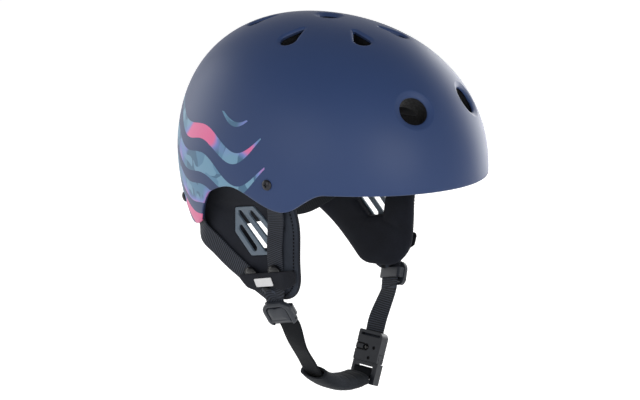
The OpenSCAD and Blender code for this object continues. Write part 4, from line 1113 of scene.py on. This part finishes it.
def keeper_line(grow):
    outline = spaced(rounded(keeper_corners), 120)
    ahead = unit(np.roll(outline, -1, 0) - np.roll(outline, 1, 0))
    spin = np.stack([ahead[:, 1], -ahead[:, 0]], 1)
    area = np.sum(outline[:, 0] * np.roll(outline[:, 1], -1) - np.roll(outline[:, 0], -1) * outline[:, 1])
    return outline + spin * grow * np.sign(area)


keeper_cloth = knitted("keeper_cloth", (20, 21, 26), (33, 35, 42), 0.75, pitch=0.6, bump=0.06, sheen=0.03)


def keeper_place(y, z, h):
    """The keeper lies on the webbings and comes down to the pad in front of them."""
    low = np.clip((fall_from - y) / fall_len, 0, 1)
    return on_ear(y, z, h - fall_depth * low * low * (3 - 2 * low))


points, faces = flat_piece(keeper_line, [], (keeper_h, keeper_top), bevel=0.4, place=keeper_place)
for keeper, pad in zip(both_sides("strap_keeper", points, faces, keeper_cloth, "keeper_cloth", sharp=50), ear_pads):
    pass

guide_rubber = grained("guide_gloss_rubber", (10, 11, 14), (15, 16, 20), 0.2, grain=0.6, cloud=8, bump=0.004,
                       spread=0.04, Specular_IOR_Level=0.08, Coat_Weight=0.4, Coat_Roughness=0.06)
first, last = np.array(keeper_corners[0][:2]), np.array(keeper_corners[-1][:2])
edge = unit(last - first)
rise = np.array((edge[1], -edge[0]))
guide_half, guide_rise, guide_top, turn = 6.6, 6, 1.75, np.linspace(0, math.pi, 25)[:, None]
levels = [(share, keeper_top + h) for share, h in (
    (0.25, 1.7), (0.5, 1.45), (0.66, 1.1), (0.74, 0.7), (0.8, 0.9), (0.9, 0.95), (0.96, 0.6), (1.0, -0.1))]
levels += [(1.0, keeper_h), (0.5, keeper_h)]
guides = []
for spot in (18, 46):
    foot = first + edge * spot + rise * web_gap
    arc = foot - np.cos(turn) * edge * guide_half + np.sin(turn) * rise * guide_rise
    hub = arc.mean(0)
    rows = [ear_ring(hub + (arc - hub) * share, h) for share, h in levels]
    part = [ear_ring(hub[None], keeper_top + guide_top)] + rows + [ear_ring(hub[None], keeper_h)]
    guides.append((np.concatenate(part), closed_rings(len(rows), len(arc))))
both_sides("strap_guides", *joined(guides), guide_rubber, "guide_rubber", sharp=60)

label_corners = [(13.5, -85.4, 1), (11.7, -92.4, 1), (-8.3, -87.6, 1), (-6.6, -80.4, 1)]
label_middle = np.mean([c[:2] for c in label_corners], 0)


def label_line(grow):
    outline = spaced(rounded(label_corners, 4), 64)
    return outline + unit(outline - label_middle) * grow


white_weave = knitted("label_white_weave", (236, 236, 236), (222, 222, 224), 0.75, pitch=0.5, bump=0.05, sheen=0.1)
label_low, label_t = keeper_top + web_gap, 0.8
points, faces = flat_piece(label_line, [], (label_low, label_low + label_t), bevel=0.25, place=on_ear)
piece("keeper_label_patch", points, faces, white_weave, "label_white", nodes=["keeper_label"])

# Strap screws: blackened steel screws with domed cross heads at the temples and behind the ears, each
# drawn into a round nut plate that clamps the webbing inside the shell.
black_steel = grained("fastener_black_steel", (40, 40, 44), (56, 56, 60), 0.32, grain=0.25, cloud=3, bump=0.02,
                      Metallic=0.85)


def solid_copy(name, nodes, weld=2e-6):
    """A mesh of CAD solids with their triangles joined up."""
    mesh = bpy.data.meshes.new(name)
    form = bmesh.new()
    for source in nodes:
        form.from_mesh(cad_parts[source].data)
    bmesh.ops.remove_doubles(form, verts=form.verts, dist=weld)
    form.to_mesh(mesh)
    form.free()
    return mesh


def beveled(name, nodes, material, body, width, fills=(), cutters=()):
    """Moulded or turned piece: the CAD solid, with finer fills and cuts if any and its edges rounded over."""
    mesh = solid_copy(name, nodes)
    for tools, operation in ((fills, "UNION"), (cutters, "DIFFERENCE")):
        for tool in tools:
            mesh = cut(mesh, [tool], name, operation)
    form = bmesh.new()
    form.from_mesh(mesh)
    bmesh.ops.dissolve_limit(form, angle_limit=math.radians(1.5), verts=form.verts, edges=form.edges)
    form.to_mesh(mesh)
    form.free()
    made = placed(name, mesh)
    soft = made.modifiers.new("rounding", "BEVEL")
    soft.width = width * MM
    soft.segments = 3
    soft.limit_method = "ANGLE"
    soft.angle_limit = math.radians(30)
    soft.use_clamp_overlap = True
    return evened(settle(name, plain_mesh(made, name), material, body, nodes, sharp=35))


def evened(made):
    """Shades the broad faces of a moulded piece flat, so that only its rounded edges bend the light."""
    return remade(made, "WEIGHTED_NORMAL", keep_sharp=True)


for name in ("temple_screws", "rear_screws", "temple_nuts", "rear_nuts"):
    beveled(name + "_turned", [name], black_steel, "helmet", width=0.2)

# Nape band: dark grey cloth tape, twelve millimetres high, from the inside of one ear pad round the
# nape to the other. It is sewn to the pads at both ends.
nape_web_w, h = 12, -ear_half - lay_gap - web_t / 2
half = [ear_station(*s) for s in ((0, -6, h), (18, -15, h), (38, -29, h), (57, -44, h - 2))]
half += [np.array(s) for s in (((-55, 74, -56.5), (-1, 0.8, 0)), ((-45, 87, -60.5), (-1, 1, 0)),
                               ((-25.03, 98, -62), (-0.4, 1, 0)))]
nape_run = half + [((0, 102, -62), (0, 1, 0))] + [s * mirror for s in half[::-1]]
# Its first colour is painted shade in the grooves of its low ribs
nape_cloth = woven("nape_cloth_tape", (32, 34, 38), (44, 47, 52), 0.75, pitch=2.0, yarn=0.9)
tape("nape_band_tape", nape_run, nape_web_w, nape_cloth, "nape_cloth", rib=0.05, step=0.5, nodes=["nape_band"])

# Strap dividers: satin graphite buckles moulded in nylon, with a flip lever on a steel pin that clamps
# the webbing where it parts. The lever opens towards the wearer's fingers.
graphite = grained("hardware_satin_graphite", (37, 41, 48), (46, 50, 58), 0.42, grain=0.3, cloud=10, bump=0.02,
                   Specular_IOR_Level=0.4)
lever_w, lever_gap, lever_top, lever_foot, barrel_z, barrel_r = 19.6, 0.4, 7.4, -5.8, 0.2, 2.2
frame_bore_r, lever_bore_r = 1.02, 1.1


def solid(place, outline, levels):
    """A closed solid over a flat outline that has a size and a height at each level."""
    return prism(*(np.array([place(x, y, z) for x, y in outline(size)]) for size, z in levels))


def block(place, flat, *heights):
    """A straight solid over a fixed outline."""
    return solid(place, lambda size: flat, [(0, z) for z in heights])


def divider_outline(inset):
    """The divider's rounded outline, broader at its foot."""
    way, top_r, foot_r = circle(96, 1), 8, 5.5
    ends = [(np.array((x * (divider_w / 2 - r), y)), r) for x in (-1, 1)
            for r, y in ((top_r, divider_h / 2 - top_r), (foot_r, -divider_h / 2 + foot_r))]
    best = np.argmax([way @ c + r for c, r in ends], axis=0)
    return np.array([ends[b][0] + w * (ends[b][1] - inset) for b, w in zip(best, way)])


def pocket_outline(grow):
    wide, top, corner = lever_w / 2 + lever_gap + grow, lever_top + lever_gap + grow, 4.4 + grow
    return spaced(rounded([(-wide, -14, 0.5), (wide, -14, 0.5), (wide, top, corner), (-wide, top, corner)]), 120)


def lever_outline(inset):
    """The lever's outline, with a shallow finger notch in its upper edge."""
    wide, middle = lever_w / 2, np.array((0, (lever_top + lever_foot) / 2))
    foot_r, top_r, notch_depth, notch_half = 0.6, 4.2, 0.9, 3.4
    edge = spaced(rounded([(-wide, lever_foot, foot_r), (wide, lever_foot, foot_r), (wide, lever_top, top_r),
                           (-wide, lever_top, top_r)]), 160)
    edge[:, 1] -= notch_depth * np.exp(-(edge[:, 0] / notch_half) ** 2) * (edge[:, 1] > lever_top - 0.1)
    return middle + (edge - middle) * (1 - inset / np.array((wide, (lever_top - lever_foot) / 2)))


def across_lever(ring, reach):
    ring = ring + np.array((lever_foot, barrel_z))
    return prism(*(np.array([divider_point(x, y, z) for y, z in ring]) for x in (-reach, reach)))


def drawn(mesh):
    """Points in millimetres and faces of a finished mesh."""
    return np.array([v.co for v in mesh.vertices]) / MM, [tuple(f.vertices) for f in mesh.polygons]


bulge = [(1 - math.cos(t), math.sin(t)) for t in np.linspace(0, math.pi / 2, 7)[1:]]
block_r, block_rise, pocket_floor, pocket_top, mouth_z, mouth_r, mouth_rise = 2.2, 2.3, -1.4, 6, 0.6, 1.3, 1.7
rounded_block = solid(divider_point, divider_outline, [(0.5, -block_rise), (0, -1.8), (0, 0)]
                      + [(block_r * a, block_rise * b) for a, b in bulge])
pocket = solid(divider_point, pocket_outline, [(0, pocket_floor), (0, mouth_z)]
               + [(mouth_r * a, mouth_z + mouth_rise * b) for a, b in bulge] + [(mouth_r, pocket_top)])
barrel_room, far = barrel_r + lever_gap, 20
back_loop = cut(solid_copy("divider_loop", ["divider_frame_right"]),
                [block(divider_point, rectangle(-far, -far, far, far), -30, -2)], "divider_loop", "INTERSECT")
mesh = cut(blank("divider_block", *rounded_block), [pocket], "divider_pocketed")
slot_ring = rectangle(-barrel_room, -barrel_room, barrel_room, barrel_room)
mesh = cut(mesh, [across_lever(slot_ring, lever_w / 2 + lever_gap)], "divider_slotted")
mesh = cut(mesh, [drawn(back_loop)], "divider_looped", "UNION")
mesh = cut(mesh, [across_lever(circle(24, frame_bore_r), far)], "divider_bored")
for made in both_sides("divider_frame", *drawn(mesh), graphite, "hardware_graphite", sharp=35):
    evened(made)
lever_dome = ((0, -1.0), (0, 0.7), (0.25, 1.4), (0.8, 1.95), (1.7, 2.4), (2.8, 2.7), (4.2, 2.9), (5.6, 3.0))
crown = solid(divider_point, lever_outline, lever_dome)
mesh = cut(blank("lever_blank", *crown), [across_lever(circle(40, barrel_r), lever_w / 2)], "lever_joined", "UNION")
mesh = cut(mesh, [across_lever(circle(24, lever_bore_r), far)], "lever_bored")
for made in both_sides("divider_lever", *drawn(mesh), graphite, "hardware_graphite", body="lever", sharp=40):
    evened(made)
for side in ("right", "left"):
    beveled(f"divider_pin_{side}_turned", [f"divider_pin_{side}"], black_steel, "helmet",
            width=0.15)

# Chin webbing: smooth black tape, twenty millimetres wide, from the right divider into the chin pad and
# round the buckle's bar. The left run is ribbed and enters the top of the buckle.
smooth_rib, smooth_relief = 0.9, 0.03
# Its first colour is painted shade in the grooves of its fine ribs
smooth_tape = woven("webbing_smooth_tape", (12, 14, 17), (20, 23, 28), 0.65, pitch=smooth_rib, yarn=0.45, bump=0.03,
                    gloss=0.08)
chin_y, chin_r, chin_w = -9.5, 75.6, 20
chin_mid = np.array((16.5, chin_y, -119.7))
pad_from, pad_arc = -134, 48


def chin_out(a):
    return np.array((math.cos(math.radians(a)), 0, math.sin(math.radians(a))))


def chin_point(a):
    return chin_mid + chin_r * chin_out(a)


buckle_lean, buckle_top, socket_len = 23, np.array((46.8, chin_y, -159.4)), 27.5


def buckle_way(v):
    return np.array(Matrix.Rotation(math.radians(buckle_lean), 3, "Y") @ Vector((-v[2], -v[0], v[1])))


def buckle_point(x, y, z):
    return buckle_top + buckle_way((x, y - socket_len, z))


z = -divider_t / 2 - 2 * web_gap - 1.5 * web_t
from_divider = [divider_station(0, y, z) for y in (4, -divider_h / 2, -divider_h / 2 - 6)]
end = pad_from + 1.9
upper_run = from_divider + [(p, chin_out(end)) for p in (
    (-55, chin_y, -145), (-44, chin_y, -162), chin_point(end - 4), chin_point(end))]
upper = tape("chin_strap_upper_tape", upper_run, chin_w, smooth_tape, "webbing_smooth", pitch=smooth_rib,
             rib=smooth_relief, step=0.8, body=None, nodes=["chin_strap_upper"])
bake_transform(upper)

start = pad_from + 2.4
sweep = pad_from + pad_arc + 0.5 - start
bar_r, bar_y = 1.6, -9.5
loop_r = bar_r + web_gap + web_t / 2 + 1
lower_run = [(chin_point(start + sweep * k / 12), chin_out(start + sweep * k / 12)) for k in range(13)]
for a in range(20, -181, -40):
    c, q = math.cos(math.radians(a)), math.sin(math.radians(a))
    lower_run.append((buckle_point(0, bar_y + loop_r * c, loop_r * q), -buckle_way((0, c, q))))
lower_run.append((buckle_point(0, bar_y - loop_r - 0.8, 4), buckle_way((0, 1, 0))))
tape("chin_strap_lower_tape", lower_run, chin_w, smooth_tape, "webbing_smooth", pitch=smooth_rib,
     rib=smooth_relief, step=0.6, body="tongue", nodes=["chin_strap_lower"])

drop_run = [s * mirror for s in from_divider]
drop_run += [(buckle_point(0, socket_len + y, 0), buckle_way((0, 0, -1))) for y in (14, 0, -4.6)]
tape("drop_strap_tape", drop_run, chin_w, ribbed_tape, "webbing_ribbed", pitch=rear_rib, nodes=["drop_strap"])

# Chin pad: a padded sleeve of brushed black cloth that slides on the chin webbing, with a wide open
# mouth away from the buckle and soft cross folds where it bends round the chin.
sleeve_sides, sleeve_rows, sleeve_square = 48, 66, 0.75
folds, fold_depth, fold_phase = 11, 1.1, 0.4
sleeve_w, sleeve_t, lining_w, lining_t = 30, 13.5, 22.6, 6.4
around = np.arange(sleeve_sides) * 2 * math.pi / sleeve_sides


def sleeve_ring(s, w, t):
    a = pad_from + pad_arc * s
    across = w / 2 * signed_pow(np.cos(around), sleeve_square)
    high = t / 2 * signed_pow(np.sin(around), sleeve_square)
    return chin_point(a) + across[:, None] * np.array((0, 1, 0)) + high[:, None] * chin_out(a)


rings = []
for j in range(sleeve_rows + 1):
    s = j / sleeve_rows
    fat = 0.9 + 0.1 * math.sin(math.pi * s)
    fold = fold_depth * max(0, math.sin(math.pi * s * folds + fold_phase)) ** 4 * (0.35 + 0.65 * s)
    rings.append(sleeve_ring(s, sleeve_w * (0.9 + 0.1 * fat) - 1.0, sleeve_t * fat - 0.2 - fold))
rings.append((rings[-1] + sleeve_ring(1.0, lining_w, lining_t)) / 2)
for j in range(sleeve_rows, -1, -1):
    s = j / sleeve_rows
    mouth = 1 + 0.5 * max(0, 1 - 3 * s) ** 2
    rings.append(sleeve_ring(s, lining_w, lining_t * mouth))
rings.append((rings[0] + rings[-1]) / 2 - 0.7 * np.array((-0.7, 0, 0.7)))
points, faces = np.concatenate(rings), looped_rings(len(rings), sleeve_sides)
points = swell(points, faces, cap=0.6, held=range((sleeve_rows + 2) * sleeve_sides, len(points)), pressure=3.0)
chin_cloth = knitted("chin_pad_cloth", (19, 21, 25), (46, 50, 57), 0.85, pitch=0.9, bump=0.14, sheen=0.05)
sleeve = piece("chin_pad_sleeve", points, faces, chin_cloth, "pad_cloth", body="chin_sleeve", nodes=["chin_pad"],
               sharp=180)
remade(sleeve, "SUBSURF", levels=1, render_levels=1)

# Magnetic buckle: a satin grey socket and tongue moulded in nylon. The tongue's rail slides sideways out of
# the socket, and two magnets draw it home. Small black screws close the face round its finger and button.
catch, catch_sides, finger_sides = np.array((-2.4, 12.3)), 40, (-2.6, 2.6)
hollow_r, hollow_floor, slit_floor, cut_top = 3.3, 3, 3.2, 9
end_x, face_half, channel_half, seam_half_w, seam_half_t = 12.74, 4.48, 1.87, 13.3, 3.2
slit, square_end = rectangle(-10.5, -0.7, 1.5, 0.7), rectangle(-0.74, 0.02, 0.74, 1.5)
finger_cuts = [block(buckle_point, catch + circle(catch_sides, hollow_r), hollow_floor, cut_top)]
finger_cuts += [block(buckle_point, catch + slit + (0, y), slit_floor, cut_top) for y in finger_sides]
square_ends = [block(buckle_point, square_end + (x, 0), *heights) for x, *heights in (
    (-end_x, -face_half, face_half), (end_x, channel_half, face_half), (end_x, -face_half, -channel_half))]
seam_edge = block(buckle_point, rectangle(-seam_half_w, -0.6, seam_half_w, -0.04), -seam_half_t, seam_half_t)
buckle_grey = grained("buckle_satin_grey", (28, 31, 37), (37, 40, 47), 0.42, grain=0.3, cloud=10, bump=0.02,
                      Specular_IOR_Level=0.35)
# Matt black for the real screws, and for the thin sheets of painted shade in the catch's hollow and slits
screw_black_and_shade = grained("screw_black_and_painted_shade", (6, 6, 8), (10, 10, 12), 0.55, grain=0.6, cloud=8, bump=0.01,
                      Specular_IOR_Level=0.08)
nickel = grained("magnet_nickel", (150, 150, 152), (170, 170, 172), 0.25, grain=0.3, cloud=3, bump=0.01, Metallic=1.0)
button_gloss = grained("catch_black_gloss", (5, 5, 7), (8, 8, 10), 0.14, grain=0.6, cloud=8, bump=0.004, spread=0.03,
                       Specular_IOR_Level=0.5)
beveled("buckle_socket_moulded", ["buckle_socket"], buckle_grey, "helmet", width=0.25,
        fills=square_ends, cutters=finger_cuts)
beveled("buckle_tongue_moulded", ["buckle_tongue"], buckle_grey, "tongue", width=0.25,
        fills=[seam_edge])
beveled("buckle_screws_turned", ["buckle_screws"], screw_black_and_shade, "helmet", width=0.1)
beveled("socket_magnet_disc", ["socket_magnet"], nickel, "helmet", width=0.1)
beveled("tongue_magnet_disc", ["tongue_magnet"], nickel, "tongue", width=0.1)
button_dome = ((2.0, 3.12), (2.0, 3.2), (1.85, 3.6), (1.5, 3.9), (1.1, 4.1), (0.6, 4.2))
button = solid(buckle_point, lambda r: catch + circle(catch_sides, r), button_dome)
piece("buckle_catch_button", *button, button_gloss, "fastener_steel", sharp=60)
# Painted shade: thin matt black sheets lie on the floors of the catch's round hollow and of its two slits to darken
# them
shade_disc_r, shade_disc_heights, shade_strip, shade_strip_heights = 3.2, (3.02, 3.1), rectangle(-10.4, -0.6, -2.6, 0.6), (3.22, 3.4)
finger = [block(buckle_point, catch + circle(catch_sides, shade_disc_r), *shade_disc_heights)]
finger += [block(buckle_point, catch + shade_strip + (0, y), *shade_strip_heights) for y in finger_sides]
piece("buckle_painted_shade_sheets", *joined(finger), screw_black_and_shade, "fastener_steel", sharp=60)
